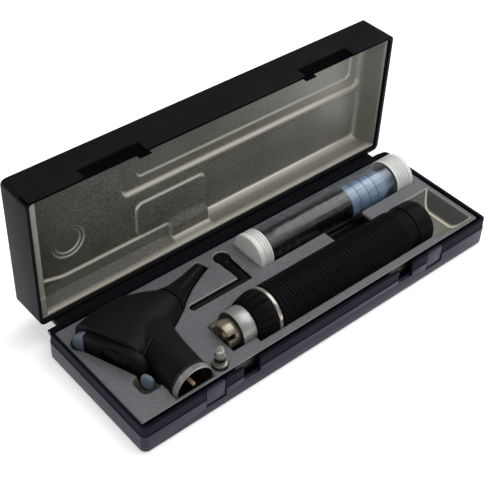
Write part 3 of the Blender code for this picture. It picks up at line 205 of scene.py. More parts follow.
def copy_of(node, name):
    """A new piece with a node's shape, its loose triangles merged and its flat faces made whole."""
    piece = bpy.data.objects.new(name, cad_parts[node].data.copy())
    bpy.context.scene.collection.objects.link(piece)
    piece.data.materials.clear()
    pick(piece)
    bpy.ops.object.mode_set(mode="EDIT")
    bpy.ops.mesh.select_all(action="SELECT")
    bpy.ops.mesh.remove_doubles(threshold=0.002 * MM)
    bpy.ops.mesh.dissolve_limited(angle_limit=math.radians(0.5))
    bpy.ops.object.mode_set(mode="OBJECT")
    return piece


def finish_with(piece, kind, **settings):
    """Add a modifier and apply it."""
    pick(piece)
    modifier = piece.modifiers.new(kind.lower(), kind)
    for name, value in settings.items():
        setattr(modifier, name, value)
    bpy.ops.object.modifier_apply(modifier=modifier.name)


def smooth(piece, angle=35):
    """Shade smooth, with edges kept above an angle in degrees."""
    pick(piece)
    bpy.ops.object.shade_smooth_by_angle(angle=math.radians(angle))


def soften(piece, width, angle=30, segments=3):
    """Round the arrises to a width in mm and shade the rest smooth."""
    finish_with(piece, "BEVEL", width=width * MM, segments=segments, limit_method="ANGLE",
                angle_limit=math.radians(angle), miter_outer="MITER_ARC")
    smooth(piece, angle)


def fit(piece, finish, body, slot, *nodes):
    """Paint a piece, hang it on its body and hide the nodes it is shown in place of."""
    piece.data.materials.clear()
    piece.data.materials.append(finish.owner)
    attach(piece, body)
    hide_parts(*nodes)


def moulded(name, dark, light, rough, grain, depth, specular=0.5, tint=(1, 1, 1),
            painted_shade=None):
    """Moulded plastic: clouded colour, uneven gloss, a fine grain, and painted shade in dull black
    where masked.
    """
    made = Finish(name, {"Specular IOR Level": specular, "Specular Tint": (*tint, 1)})
    cloud = made.noise(14 * MM, 5.0)
    fine = made.noise(grain * MM, 2.0)
    skin = made.mix(cloud * 0.7 + fine * 0.3, (*dark, 1), (*light, 1))
    gloss = rough - 0.13 + cloud * 0.16 + fine * 0.1
    if painted_shade:
        shade = painted_shade(made)
        skin = made.mix(shade, skin, (0.001, 0.001, 0.001, 1))
        gloss = gloss + shade * 0.5
    made.feed("Base Color", skin)
    made.feed("Roughness", gloss)
    made.bump(fine, depth * MM)
    return made


BLUE_SHEEN = (0.55, 0.6, 1.0)
CASE_DARK = (0.004, 0.004, 0.0075)
CASE_LIGHT = (0.010, 0.0097, 0.0165)
# Painted shade: the base's upper band, above 12.9 mm, is painted near-black, so the lower band
# reads lighter.
case_black = moulded(
    "case_black", CASE_DARK, CASE_LIGHT, rough=0.36, grain=0.5, depth=0.03, specular=0.32,
    tint=BLUE_SHEEN, painted_shade=lambda made: (made.axis("Z") > 12.9) * 0.8)
base = copy_of("base_shell", "case_base_box")
soften(base, 0.45)
fit(base, case_black, "case_base", "case_plastic", "base_shell")

# Latches: two thin tongues cut free of the front wall, joined to it only along the foot.
# They are the same plastic as the base, pressed in with a thumb to free the lid.
latch_black = moulded(
    "latch_black", CASE_DARK, CASE_LIGHT, rough=0.36, grain=0.5, depth=0.03, specular=0.32,
    tint=BLUE_SHEEN)
for side in ("left", "right"):
    latch = copy_of(f"latch_{side}", f"press_latch_{side}")
    soften(latch, 0.35)
    fit(latch, latch_black, f"latch_{side}", "case_plastic", f"latch_{side}")

# Hinge pins: two short lengths of drawn steel wire pushed into the knuckles from the ends.
# Only their ends show.
def metal(name, dark, light, rough, scratch, stretch, painted_black_shade=None):
    """Bare metal with fine drawn or turned marks, painted near-black as shade where masked."""
    made = Finish(name, {"Metallic": 0.75})
    marks = made.noise(scratch * MM, 3.0, stretch)
    cloud = made.noise(6 * MM, 3.0)
    skin = made.mix(cloud * 0.4 + (marks - 0.5) * 1.2 + 0.3, (*dark, 1), (*light, 1))
    if painted_black_shade:
        black = painted_black_shade(made)
        skin = made.mix(black, skin, (0.012, 0.011, 0.009, 1))
        made.feed("Metallic", 0.75 - black * 0.65)
    made.feed("Base Color", skin)
    made.feed("Roughness", rough - 0.1 + cloud * 0.12 + marks * 0.12)
    made.bump(marks, 0.006 * MM)
    return made


def repaint(node, finish):
    """Give a node that is shown as it is its finish."""
    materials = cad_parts[node].data.materials
    materials.clear()
    materials.append(finish.owner)


drawn_steel = metal(
    "drawn_steel", (0.38, 0.38, 0.39), (0.55, 0.55, 0.56), rough=0.32, scratch=0.3,
    stretch=(0.05, 1, 1))
repaint("hinge_pin_left", drawn_steel)
repaint("hinge_pin_right", drawn_steel)

# Tray: one sheet of matt grey plastic drawn down by vacuum over a mould, so every recess has a
# sloping wall, a round lip and a round foot. It drops into the base and carries the instruments.
TRAY_TOP = 18.0
TRAY_FLOOR = 2.3
TRAY_SIDES = (-132.2, 132.2, -39.5, 42.2)
LIP_ROUND = 0.9
CHANNEL_WALL = 7


def blend_low(first, second, round_off):
    """Lower of two heights, with a round edge where they cross."""
    mixed = np.clip(0.5 + 0.5 * (second - first) / round_off, 0, 1)
    return second * (1 - mixed) + first * mixed - round_off * mixed * (1 - mixed)


def blend_high(first, second, round_off):
    """Higher of two heights, with a round edge where they cross."""
    return -blend_low(-first, -second, round_off)


def off_box(x, y, x0, x1, y0, y1, corner):
    """Distance outside a rectangle with round corners; negative inside."""
    dx = np.abs(x - (x0 + x1) / 2) - (x1 - x0) / 2 + corner
    dy = np.abs(y - (y0 + y1) / 2) - (y1 - y0) / 2 + corner
    outside = np.hypot(np.maximum(dx, 0), np.maximum(dy, 0))
    return outside + np.minimum(np.maximum(dx, dy), 0) - corner


def recess(distance, bottom, slope, foot):
    """Height of a recess from the distance outside its lip, with a round foot."""
    return blend_high(TRAY_TOP + distance * slope, bottom + 0 * distance, foot)


def channel(across, along, start, end, radius, axis_height):
    """Height of a half-round channel closed at both ends."""
    off_axis = np.abs(across)
    hollow = np.sqrt(np.maximum(radius ** 2 - np.minimum(off_axis, radius) ** 2, 0))
    bed = axis_height - hollow + CHANNEL_WALL * np.maximum(off_axis - radius, 0)
    past_end = np.maximum(start - along, along - end)
    return np.maximum(bed, axis_height - radius + np.maximum(radius + CHANNEL_WALL * past_end, 0))


def sheet_grid(name, x0, x1, y0, y1, step):
    """A fine flat grid to be drawn down into a formed sheet, and its points in mm."""
    clear_selection()
    columns = int((x1 - x0) / step)
    rows = int((y1 - y0) / step)
    bpy.ops.mesh.primitive_grid_add(x_subdivisions=columns, y_subdivisions=rows, size=1)
    piece = bpy.context.object
    piece.name = name
    points = np.zeros(len(piece.data.vertices) * 3)
    piece.data.vertices.foreach_get("co", points)
    points = points.reshape(-1, 3)
    points[:, 0] = (points[:, 0] + 0.5) * (x1 - x0) + x0
    points[:, 1] = (points[:, 1] + 0.5) * (y1 - y0) + y0
    return piece, points


def draw_down(piece, points, away, back):
    """Move the grid to its formed points, then close it with a flat back through a point."""
    piece.data.vertices.foreach_set("co", (points * MM).ravel())
    piece.data.update()
    pick(piece)
    bpy.ops.object.mode_set(mode="EDIT")
    bpy.ops.mesh.select_mode(type="EDGE")
    bpy.ops.mesh.select_all(action="DESELECT")
    bpy.ops.mesh.select_non_manifold(use_wire=False, use_multi_face=False, use_non_contiguous=False,
                                     use_verts=False)
    bpy.ops.mesh.extrude_region_move(TRANSFORM_OT_translate={"value": away * MM})
    bpy.ops.transform.resize(value=[1 - abs(part) for part in away], center_override=back * MM)
    bpy.ops.mesh.edge_face_add()
    bpy.ops.mesh.select_mode(type="VERT")
    bpy.ops.mesh.select_all(action="SELECT")
    bpy.ops.mesh.normals_make_consistent(inside=False)
    bpy.ops.object.mode_set(mode="OBJECT")
    smooth(piece, 60)


tray, spots = sheet_grid("formed_tray", *TRAY_SIDES, step=0.56)
x = spots[:, 0]
y = spots[:, 1]
HEAD = Vector((-94.6, 11.3, 18.5))
SIGHT = Vector((0.93667, 0.35021, 0))
ACROSS = Vector((-0.35021, 0.93667, 0))
ahead = (x - HEAD.x) * SIGHT.x + (y - HEAD.y) * SIGHT.y
aside = (x - HEAD.x) * ACROSS.x + (y - HEAD.y) * ACROSS.y
down_neck = HEAD.y - y
beside_neck = x - HEAD.x
CLEAR = 0.6
HEAD_REAR = -21
NOSE_END = 67
NECK_START = 2
RING_END = 48.3
head_middle = np.interp(ahead, (-21, -10.1, 0, 10.1, 19.9, 28), (8, 7.5, 6.5, 5.8, 3, 0))
head_half = np.interp(ahead, (-21, -10.1, 0, 10.1, 19.9, 28, 36, 45.5, 55, 63),
                      (22, 22, 20.5, 18.7, 14.5, 9.8, 7.2, 5.2, 4.2, 3.9)) + CLEAR
off_head = np.maximum(np.abs(aside - head_middle) - head_half,
                      np.maximum(HEAD_REAR - CLEAR - ahead, ahead - NOSE_END))
neck_half = np.interp(down_neck, (2, 24, 42, 43, 49), (16, 12.9, 12.2, 12.6, 12.6)) + CLEAR
off_neck = np.maximum(np.abs(beside_neck) - neck_half,
                      np.maximum(NECK_START - down_neck, down_neck - RING_END - CLEAR))
off_frame = off_box(ahead, aside, -26.6, -20, -22.4, 29.8, 2)
lower_tab = HEAD + SIGHT * -27.8 + ACROSS * -22
off_scoop = off_box(x, y, lower_tab.x - 6.8, lower_tab.x + 6.5,
                    lower_tab.y - 6.6, lower_tab.y + 7.8, 4)
upper_tab = HEAD + SIGHT * -21.3 + ACROSS * 25
off_upper = np.hypot(x - upper_tab.x, y - upper_tab.y) - 7
off_rod = off_box(x, y, -61.2, -17, 7.4, 13, 2.6)
KEY_ARM_X = -19.2
KEY_KNOB_Y = 32.2
off_arm = np.maximum(np.abs(x - KEY_ARM_X) - np.interp(y, (8, 32), (3.7, 5.0)),
                     np.maximum(7.6 - y, y - KEY_KNOB_Y))
off_knob = np.hypot(x - KEY_ARM_X, y - KEY_KNOB_Y) - 5.6
LAMP = Vector((-74.5, -33, 0))
off_lamp = np.hypot(x - LAMP.x, y - LAMP.y) - 4.9
off_notch = off_box(x, y, 45, 78.5, -8, 16, 0.6)
head_bottom = np.interp(ahead, (24, 30, 36, 45.5, 55, 63), (3.2, 8, 10.6, 12.6, 13.6, 14.1))
surface = TRAY_TOP + 0 * x
for distance, bottom, slope, foot in (
        (off_head, head_bottom, 6, 1), (off_neck, 3.2, 6, 1), (off_frame, 5, 14, 1),
        (off_scoop, 8, 3, 3), (off_upper, 8, 4, 2), (off_rod, 12.6, 5, 1), (off_arm, 12.6, 5, 1),
        (off_knob, 12, 5, 1), (off_lamp, 9.4, 6, 1), (off_notch, 5.8, 9, 1)):
    surface = blend_low(surface, recess(distance, bottom, slope, foot), LIP_ROUND)
HANDLE_SIDE = -18.2
HANDLE_HEIGHT = 18.5
TUBE_SIDE = 24.2
TUBE_HEIGHT = 17.5
for across, start, end, radius, axis_height in (
        (y - HANDLE_SIDE, -62.6, -45, 12.1, HANDLE_HEIGHT),
        (y - HANDLE_SIDE, -46, 99.5, 15.7, HANDLE_HEIGHT),
        (y - TUBE_SIDE, -6.5, 126.7, 14, TUBE_HEIGHT)):
    surface = blend_low(surface, channel(across, x, start, end, radius, axis_height), LIP_ROUND)
well = recess(off_box(x, y, 93, 140, -37, 1.2, 9), 6.8, 1.8, 8)
well_end = TRAY_TOP + (x - 129.4) * 1.5
surface = blend_low(surface, blend_high(well, well_end, 1.2), LIP_ROUND)
# Masks for painted light in the well: a highlight along the fold at the foot of its end wall, and
# painted shade on that wall.
in_well = (x > 97) * (surface < TRAY_TOP - 0.8)
painted_highlight = tray.data.attributes.new("painted_highlight", "FLOAT", "POINT")
painted_highlight.data.foreach_set("value", in_well * np.exp(-((well_end - well) / 0.9) ** 2))
painted_well_shade = tray.data.attributes.new("painted_well_shade", "FLOAT", "POINT")
painted_well_shade.data.foreach_set("value", in_well * np.clip((well_end - well) / 1.5, 0, 1))
edge_drop = off_box(x, y, *TRAY_SIDES, 1.5)
surface = blend_low(surface, TRAY_TOP - 1.2 - edge_drop * 3, LIP_ROUND)
spots[:, 2] = np.maximum(surface, TRAY_FLOOR + 0.3)
draw_down(tray, spots, Vector((0, 0, -1)), Vector((0, 0, TRAY_FLOOR)))

tray_grey = Finish("tray_grey", {"Specular IOR Level": 0.4})
speckle = tray_grey.noise(0.45 * MM, 2.0)
mottle = tray_grey.noise(2.2 * MM, 4.0)
drift = tray_grey.noise(40 * MM, 3.0)
tone = (speckle * 0.4 + mottle * 0.35 + drift * 0.25 - 0.5) * 2.6 + 0.5
flat = tray_grey.node("ShaderNodeMapRange", {}, {
    "Value": tray_grey.axis("Z"), "From Min": TRAY_TOP - 1.4, "From Max": TRAY_TOP - 0.3})
stretched = tray_grey.mix(tone, (0.07, 0.068, 0.058, 1), (0.16, 0.155, 0.135, 1))
matt = tray_grey.mix(tone, (0.058, 0.061, 0.066, 1), (0.135, 0.14, 0.148, 1))
tray_z = tray_grey.axis("Z")
# Painted shadow: the finger notch, the key slot and the front side of the tray are painted
# near-black where shade falls.
notch = tray_grey.between("X", 45.3, 78.2) * tray_grey.between("Y", -9, 17) * (tray_z < 17)
key_slot = tray_grey.between("X", -62, -12.5) * tray_grey.between("Y", 6.8, 38.6) * (tray_z < 16.9)
painted_shadow = notch + key_slot + (tray_grey.axis("Y") < -39.2)
# Painted highlight: a band just below the top, on the round lips, is lightened.
lip = tray_grey.between("Z", TRAY_TOP - 1.1, TRAY_TOP - 0.2)
formed = tray_grey.mix(lip * 0.75, tray_grey.mix(flat, stretched, matt), (0.30, 0.30, 0.28, 1))
# The well's end wall is painted darker as shade, and the fold at its foot is painted light as a
# highlight.
shaded_end_wall = tray_grey.node("ShaderNodeAttribute", {"attribute_name": "painted_well_shade"}, {}, "Fac")
drawn = tray_grey.node("ShaderNodeAttribute", {"attribute_name": "painted_highlight"}, {}, "Fac")
formed = tray_grey.mix(shaded_end_wall * 0.6, formed, (0.035, 0.035, 0.041, 1))
formed = tray_grey.mix(drawn * 0.9, formed, (0.75, 0.71, 0.57, 1))
tray_grey.feed("Base Color", tray_grey.mix(painted_shadow, formed, (0.003, 0.003, 0.003, 1)))
tray_grey.feed("Roughness", 0.27 + flat * 0.25 + mottle * 0.16 + speckle * 0.1)
tray_grey.bump(speckle * 0.7 + mottle * 0.3, 0.09 * MM)
fit(tray, tray_grey, "case_base", "tray_sheet",
    "tray_head_side", "tray_finger_side", "tray_well_side")

# Lid: the same black plastic as the base, a deeper box standing open on its hinge. Two shallow
# recesses in its front wall clear the latches, with a small hook beside each.
lid = copy_of("lid_shell", "case_lid_box")
soften(lid, 0.45)
# Painted shade: the two latch recesses in the front wall are painted near-black.
lid_black = moulded(
    "lid_black", (0.003, 0.003, 0.004), (0.010, 0.0095, 0.010), rough=0.46, grain=0.5, depth=0.03,
    specular=0.07, tint=BLUE_SHEEN,
    painted_shade=lambda made: made.between("Z", 104.4, 105.5) * (made.axis("Y") < 59.5))
fit(lid, lid_black, "lid", "case_plastic", "lid_shell")

# Lid liner: a satin grey-brown sheet formed in steps that clear the head, handle and tube when
# the lid is shut. Its rounded steps catch the light.
liner, spots = sheet_grid("formed_liner", -132.2, 132.2, 19.3, 103.6, 0.6)
x = spots[:, 0].copy()
z = spots[:, 1].copy()
FLANGE = 54.0
PANEL = 66.7
LINER_BACK = 74.0
LEFT_SHELF = 65.1
PLATEAU = 65.3
MIDDLE_FOOT = 61.3
MIDDLE_LEFT = -34
RIM_TOP = 20.6
WALL_SLOPE = 8


def ease(way):
    """0 to 1 with rounded ends."""
    way = np.clip(way, 0, 1)
    return way * way * (3 - 2 * way)


def off_middle(x, z):
    """Distance outside the strip of the plateau that runs down to the hinge."""
    return off_box(x, z, MIDDLE_LEFT, -5.5, 0, 45, 1.5)


def liner_steps(x, z):
    """Each step: the distance outside its edge, how far it falls back and the edge's width."""
    shelf_height = z - 4 * ease((-106 - x) / 22)
    plateau = np.minimum(off_box(x, z, -57, -5.5, 31.6, 55.5, 5), off_middle(x, z))
    off_round = np.hypot(x + 103.1, z - 52.8)
    return [(off_box(x, shelf_height, -150, MIDDLE_LEFT, 0, 30.4, 1), LEFT_SHELF - PANEL, 1.8),
            (plateau, PLATEAU - PANEL, 1.6),
            (off_box(x, z, -65, 124, 64.6, 120, 5), 2.8, 2.2),
            (off_box(x, z, -53, 117, 72, 120, 4), 0.8, 1.6),
            (off_box(x, z, -5, 125, 22.6, 60.5, 3), 2.3, 2.0),
            (off_round - 10.6, 0.6, 1.4), (off_round - 8.2, 0.6, 1.4)]


def liner_bed(x, z):
    """How far back the sheet lies between its walls, with the plateau forward at the hinge."""
    bed = PANEL + 0 * x
    for distance, fall, width in liner_steps(x, z):
        bed = bed + fall * ease(0.5 - distance / width)
    forward = ease(0.5 - off_middle(x, z) / 1.8) * ease((35.2 - z) / 7.2)
    return bed + (MIDDLE_FOOT - PLATEAU) * forward


# Painted highlights: the colour is lightened where a step turns upwards or to the left, along the
# hinge wall and on the rim, where the light would catch the round edges.
bed = liner_bed(x, z)
sides = np.minimum(np.minimum((131 - x) * 2.4, (x + 127.8) * WALL_SLOPE),
                   np.minimum((103 - z) * 5, (z - RIM_TOP) * WALL_SLOPE))
depth = blend_high(blend_low(FLANGE + sides, bed, 2.6), FLANGE + 0 * x, 1.2)
PROBE = 0.2
shine = np.maximum(0.35 * (x < -128.4), 0.1 * (x < MIDDLE_LEFT) * (z < 29.5))
for here, beside, over in zip(liner_steps(x, z), liner_steps(x + PROBE, z),
                              liner_steps(x, z + PROBE)):
    distance, fall, width = here
    faces_up = np.sign(fall) * (distance - over[0]) / PROBE
    faces_left = np.sign(fall) * (beside[0] - distance) / PROBE
    facing = np.clip(faces_up, 0, 1) + 0.5 * np.clip(faces_left, 0, 1)
    if fall > 2:
        facing = facing + 0.3 * np.clip(-faces_left, 0, 1)
    line = np.exp(-(distance / (0.3 * width)) ** 2)
    shine = np.maximum(shine, facing * line * min(1, 0.5 + abs(fall) / 3))
wall_foot = RIM_TOP + (bed - FLANGE) / WALL_SLOPE
along_hinge = np.exp(-((z - wall_foot - 0.3) / 0.6) ** 2) * (x > MIDDLE_LEFT) * (x < 126)
shine = np.maximum(shine, along_hinge)
shine = np.maximum(shine, np.exp(-((z - RIM_TOP + 0.3) / 0.45) ** 2))
painted_highlight = liner.data.attributes.new("painted_highlight", "FLOAT", "POINT")
painted_highlight.data.foreach_set("value", np.clip(shine, 0, 1))
spots[:, 1] = np.minimum(depth, LINER_BACK - 1)
spots[:, 2] = z
draw_down(liner, spots, Vector((0, 1, 0)), Vector((0, LINER_BACK, 0)))

liner_satin = Finish("liner_satin", {"Metallic": 0.35, "Specular IOR Level": 0.6})
speckle = liner_satin.noise(0.8 * MM, 2.0)
drift = liner_satin.noise(30 * MM, 4.0)
# Painted highlight: where this attribute is high the colour is lightened towards pale grey and the
# roughness lowered.
drawn = liner_satin.node("ShaderNodeAttribute", {"attribute_name": "painted_highlight"}, {}, "Fac")
# Painted light: the sheet grows lighter towards +X, as if lit more from the right.
tone = (speckle - 0.5) * 2.2 + drift * 0.6 + 0.2 + liner_satin.axis("X") * 0.004
sheet = liner_satin.mix(tone, (0.075, 0.071, 0.061, 1), (0.255, 0.246, 0.216, 1))
liner_satin.feed("Base Color", liner_satin.mix(drawn * 0.9, sheet, (0.86, 0.83, 0.71, 1)))
liner_satin.feed("Roughness", 0.3 + drift * 0.14 + speckle * 0.1 - drawn * 0.08)
liner_satin.bump(speckle, 0.04 * MM)
fit(liner, liner_satin, "lid", "liner_sheet", "lid_liner")

# Otoscope head: two matt black shells closed round the light path, lying on its side. The body
# swells from the nose to the rear and runs down into the neck.
housing = copy_of("head_housing", "otoscope_head")
finish_with(housing, "REMESH", mode="VOXEL", voxel_size=0.6 * MM, use_smooth_shade=True)
finish_with(housing, "SMOOTH", factor=0.5, iterations=8)
HEAD_DARK = (0.003, 0.003, 0.0035)
HEAD_LIGHT = (0.007, 0.0068, 0.0074)
HEAD_GRAIN = 0.35
HEAD_DEPTH = 0.025
HEAD_GLOSS = 0.15
head_black = moulded(
    "head_black", HEAD_DARK, HEAD_LIGHT, rough=0.5, grain=HEAD_GRAIN, depth=HEAD_DEPTH,
    specular=HEAD_GLOSS)
seamed_black = Finish("seamed_black", {"Specular IOR Level": HEAD_GLOSS})
cloud = seamed_black.noise(14 * MM, 5.0)
fine = seamed_black.noise(HEAD_GRAIN * MM, 2.0)
along_x = seamed_black.axis("X") - HEAD.x
along_y = seamed_black.axis("Y") - HEAD.y
past_seam = along_x * ACROSS.x + along_y * ACROSS.y + 14.3
behind = along_x * SIGHT.x + along_y * SIGHT.y < -8.5
seam = behind * (past_seam.math("ABSOLUTE", past_seam, 0) < 0.4)
# The seam is a dark joint; the strip beside it is a painted highlight on its lip.
seam_lip_highlight = behind * (past_seam > 0.4) * (past_seam < 1.1)
skin = seamed_black.mix(cloud * 0.7 + fine * 0.3, (*HEAD_DARK, 1), (*HEAD_LIGHT, 1))
skin = seamed_black.mix(seam_lip_highlight, skin, (0.017, 0.017, 0.018, 1))
seamed_black.feed("Base Color", seamed_black.mix(seam, skin, (0.0005, 0.0005, 0.0005, 1)))
seamed_black.feed("Roughness", 0.37 + cloud * 0.16 + fine * 0.1 + seam * 0.3)
seamed_black.bump(fine - seam * 6, HEAD_DEPTH * MM)
fit(housing, seamed_black, "head", "head_black", "head_housing")

# Neck socket: a knurled satin ring screwed on the end of the neck, with a dark contact disc and a
# brass pin at the bottom of the socket and the lamp behind them.
NECK = Vector((0, -1, 0))
UP = Vector((0, 0, 1))


def turned(name, outline, centre, axis, radial, count):
    """Spin an outline of (along, radius) points in mm about an axis, as on a lathe."""
    clear_selection()
    bpy.ops.mesh.primitive_plane_add(size=MM)
    piece = bpy.context.object
    piece.name = name
    bpy.ops.object.mode_set(mode="EDIT")
    bpy.ops.mesh.select_mode(type="VERT")
    bpy.ops.mesh.select_all(action="SELECT")
    bpy.ops.mesh.merge(type="CENTER")
    line = [(centre + axis * along + radial * radius) * MM for along, radius in outline]
    bpy.ops.transform.translate(value=line[0])
    for here, there in zip(line, line[1:]):
        bpy.ops.mesh.extrude_region_move(TRANSFORM_OT_translate={"value": there - here})
    bpy.ops.mesh.select_all(action="SELECT")
    bpy.ops.mesh.spin(steps=count, angle=2 * math.pi, center=centre * MM, axis=axis)
    bpy.ops.mesh.select_all(action="SELECT")
    bpy.ops.mesh.remove_doubles(threshold=0.003 * MM)
    bpy.ops.mesh.normals_make_consistent(inside=False)
    bpy.ops.object.mode_set(mode="OBJECT")
    return piece


def cut_round(piece, centre, axis, radial, shape):
    """Reshape a turned piece: shape gives the new radius from (angle, radius, along)."""
    side = axis.cross(radial)
    for vertex in piece.data.vertices:
        offset = vertex.co / MM - centre
        along = offset.dot(axis)
        out = offset.dot(radial)
        over = offset.dot(side)
        radius = math.hypot(out, over)
        if radius > 0.01:
            scale = shape(math.atan2(over, out), radius, along) / radius
            vertex.co = (centre + axis * along + (radial * out + side * over) * scale) * MM


satin_metal = metal(
    "satin_metal", (0.40, 0.385, 0.35), (0.58, 0.565, 0.52), rough=0.36, scratch=0.25,
    stretch=(1, 1, 1))
brass = metal(
    "turned_brass", (0.62, 0.40, 0.22), (0.85, 0.60, 0.38), rough=0.3, scratch=0.2,
    stretch=(1, 1, 1))
brass.shader.inputs["Metallic"].default_value = 0.45
dark_insert = moulded(
    "dark_insert", (0.012, 0.011, 0.010), (0.03, 0.028, 0.026), rough=0.5, grain=0.3, depth=0.02)
clear_glass = Finish("clear_glass", {"Transmission Weight": 1.0, "IOR": 1.5})
haze = clear_glass.noise(3 * MM, 3.0)
clear_glass.feed("Base Color", clear_glass.mix(haze, (0.90, 0.93, 0.93, 1), (0.95, 0.97, 0.97, 1)))
clear_glass.bump(haze, 0.004 * MM)
clear_glass.feed("Roughness", 0.02 + haze * 0.05)
collar_ring = turned("knurled_ring", [
    (42.3, 8.8), (42.3, 12.2), (42.7, 12.6), (43.0, 12.6), (47.5, 12.6), (47.8, 12.6), (48.3, 12.3),
    (48.3, 11.9), (47.9, 11.6), (44.2, 11.5), (44.2, 8.8), (42.3, 8.8)], HEAD, NECK, UP, count=240)
KNURLS = 60


def knurled(angle, radius, along):
    """Rounded teeth round the outside of the ring."""
    if radius <= 12.4:
        return radius
    return radius - 0.28 * (0.5 - 0.5 * math.cos(angle * KNURLS))


cut_round(collar_ring, HEAD, NECK, UP, knurled)
smooth(collar_ring, 40)


def inside_ring(made):
    """Where the ring is painted dark as shade: its bore and its shoulder against the neck."""
    out = made.axis("X") - HEAD.x
    over = made.axis("Z") - HEAD.z
    bore = out * out + over * over < 11.7 ** 2
    return bore.math("MAXIMUM", bore, made.axis("Y") > HEAD.y - 44.6)


# Painted shade: the ring's bore and its shoulder against the neck are painted near-black.
ring_metal = metal(
    "ring_metal", (0.17, 0.17, 0.165), (0.58, 0.58, 0.57), rough=0.34, scratch=0.7,
    stretch=(1, 0.04, 1), painted_black_shade=inside_ring)
fit(collar_ring, ring_metal, "head", "satin_metal", "socket_ring")
socket_disc = turned("socket_disc", [
    (34.0, 1.6), (34.0, 4.2), (36.8, 4.2), (37.0, 4.0), (37.0, 2.2), (36.5, 1.6), (34.0, 1.6)],
    HEAD, NECK, UP, count=48)
smooth(socket_disc)
fit(socket_disc, dark_insert, "head", "insulator", "lamp_contact_disc")
contact = turned("contact_pin", [
    (34.0, 0), (34.0, 1.2), (42.5, 1.2), (42.6, 1.0), (43.2, 1.0), (43.3, 1.2), (46.6, 1.2),
    (47.1, 0.9), (47.3, 0.4), (47.3, 0)], HEAD, NECK, UP, count=32)
smooth(contact)
fit(contact, brass, "head", "brass", "lamp_contact_pin")
repaint("head_lamp_base", satin_metal)
repaint("head_lamp_glass", clear_glass)

# Speculum on the head: a thin black cone pushed on the nose, open at its tip.
# Its rim is rolled over so that it is smooth in use.
cone_black = moulded(
    "cone_black", (0.002, 0.002, 0.0025), (0.006, 0.006, 0.0065), rough=0.36, grain=0.6, depth=0.01,
    specular=0.1)
cone = turned("fitted_speculum", [
    (28.3, 9.0), (28.3, 9.6), (28.6, 9.8), (30.2, 9.2), (32.6, 8.2), (35.9, 7.15), (40.5, 6.1),
    (45.5, 5.2), (50.5, 4.5), (55.2, 4.0), (59.5, 3.6), (61.8, 3.4), (62.5, 3.2), (62.8, 2.9),
    (62.7, 2.6), (62.2, 2.45), (55.2, 3.2), (45.5, 4.4), (35.9, 6.35), (28.3, 9.0)], HEAD, SIGHT,
    UP, count=96)
smooth(cone, 50)
fit(cone, cone_black, "speculum", "head_black", "speculum")

# Magnifier: a flat black frame with a round lens, swinging on a pin at the rear of the head.
# A blue-grey thumb tab is fixed to its free end and a shoe of the same plastic caps the pivot.
swing_frame = copy_of("lens_frame", "lens_holder")
soften(swing_frame, 0.7)
fit(swing_frame, head_black, "magnifier", "head_black", "lens_frame")
lens = turned("round_lens", [
    (-25.3, 0), (-25.2, 2.4), (-25.05, 4.75), (-24.75, 7.2), (-24.3, 9.5), (-22.3, 9.5),
    (-21.95, 7.2), (-21.7, 4.75), (-21.55, 2.4), (-21.5, 0)], HEAD, SIGHT, UP, count=64)
smooth(lens, 50)
fit(lens, clear_glass, "magnifier", "glass", "magnifier_lens")
tab_blue = moulded(
    "tab_blue", (0.06, 0.08, 0.108), (0.115, 0.145, 0.185), rough=0.4, grain=0.5, depth=0.012,
    specular=0.3)
thumb_tab = copy_of("magnifier_tab", "thumb_tab")
finish_with(thumb_tab, "SUBSURF", levels=2, render_levels=2)
for vertex in thumb_tab.data.vertices:
    vertex.co -= ACROSS * (vertex.co - lower_tab * MM).dot(ACROSS) * 0.2
smooth(thumb_tab, 60)
fit(thumb_tab, tab_blue, "magnifier", "tab_grey", "magnifier_tab")
shoe = copy_of("pivot_shoe", "pivot_cap")
soften(shoe, 0.9, 25, 4)
fit(shoe, tab_blue, "magnifier", "tab_grey", "pivot_shoe")
repaint("pivot_pin", head_black)

# Bayonet end of the handle: a notched chrome sleeve that enters the neck, in front of a satin
# collar turned in one piece with the stem. An insulated brass contact runs through both.
HANDLE = Vector((0, HANDLE_SIDE, HANDLE_HEIGHT))
ALONG = Vector((1, 0, 0))
chrome = metal(
    "bright_chrome", (0.44, 0.42, 0.37), (0.60, 0.57, 0.51), rough=0.2, scratch=0.4,
    stretch=(1, 1, 1))
# Painted reflection: the sleeve's wide streaks from dark to light along its axis stand in for its
# surroundings reflected in it, over its drawn marks.
dull_chrome = metal(
    "dull_chrome", (0.10, 0.088, 0.062), (0.70, 0.64, 0.49), rough=0.26, scratch=1.6,
    stretch=(0.05, 1, 1))
spigot = copy_of("handle_spigot", "bayonet_sleeve")
soften(spigot, 0.3, 25)
fit(spigot, dull_chrome, "handle", "chrome", "handle_spigot")
collar = turned("stem_collar", [
    (-52, 4.5), (-52, 8.75), (-54.5, 8.75), (-54.5, 10.9), (-54.3, 11.4), (-53.8, 11.7),
    (-44.9, 11.7), (-44.5, 11.5), (-44.3, 11.1), (-44.3, 10.2), (-17.8, 10.2), (-17.8, 4.5),
    (-52, 4.5)], HANDLE, ALONG, UP, count=96)
smooth(collar)
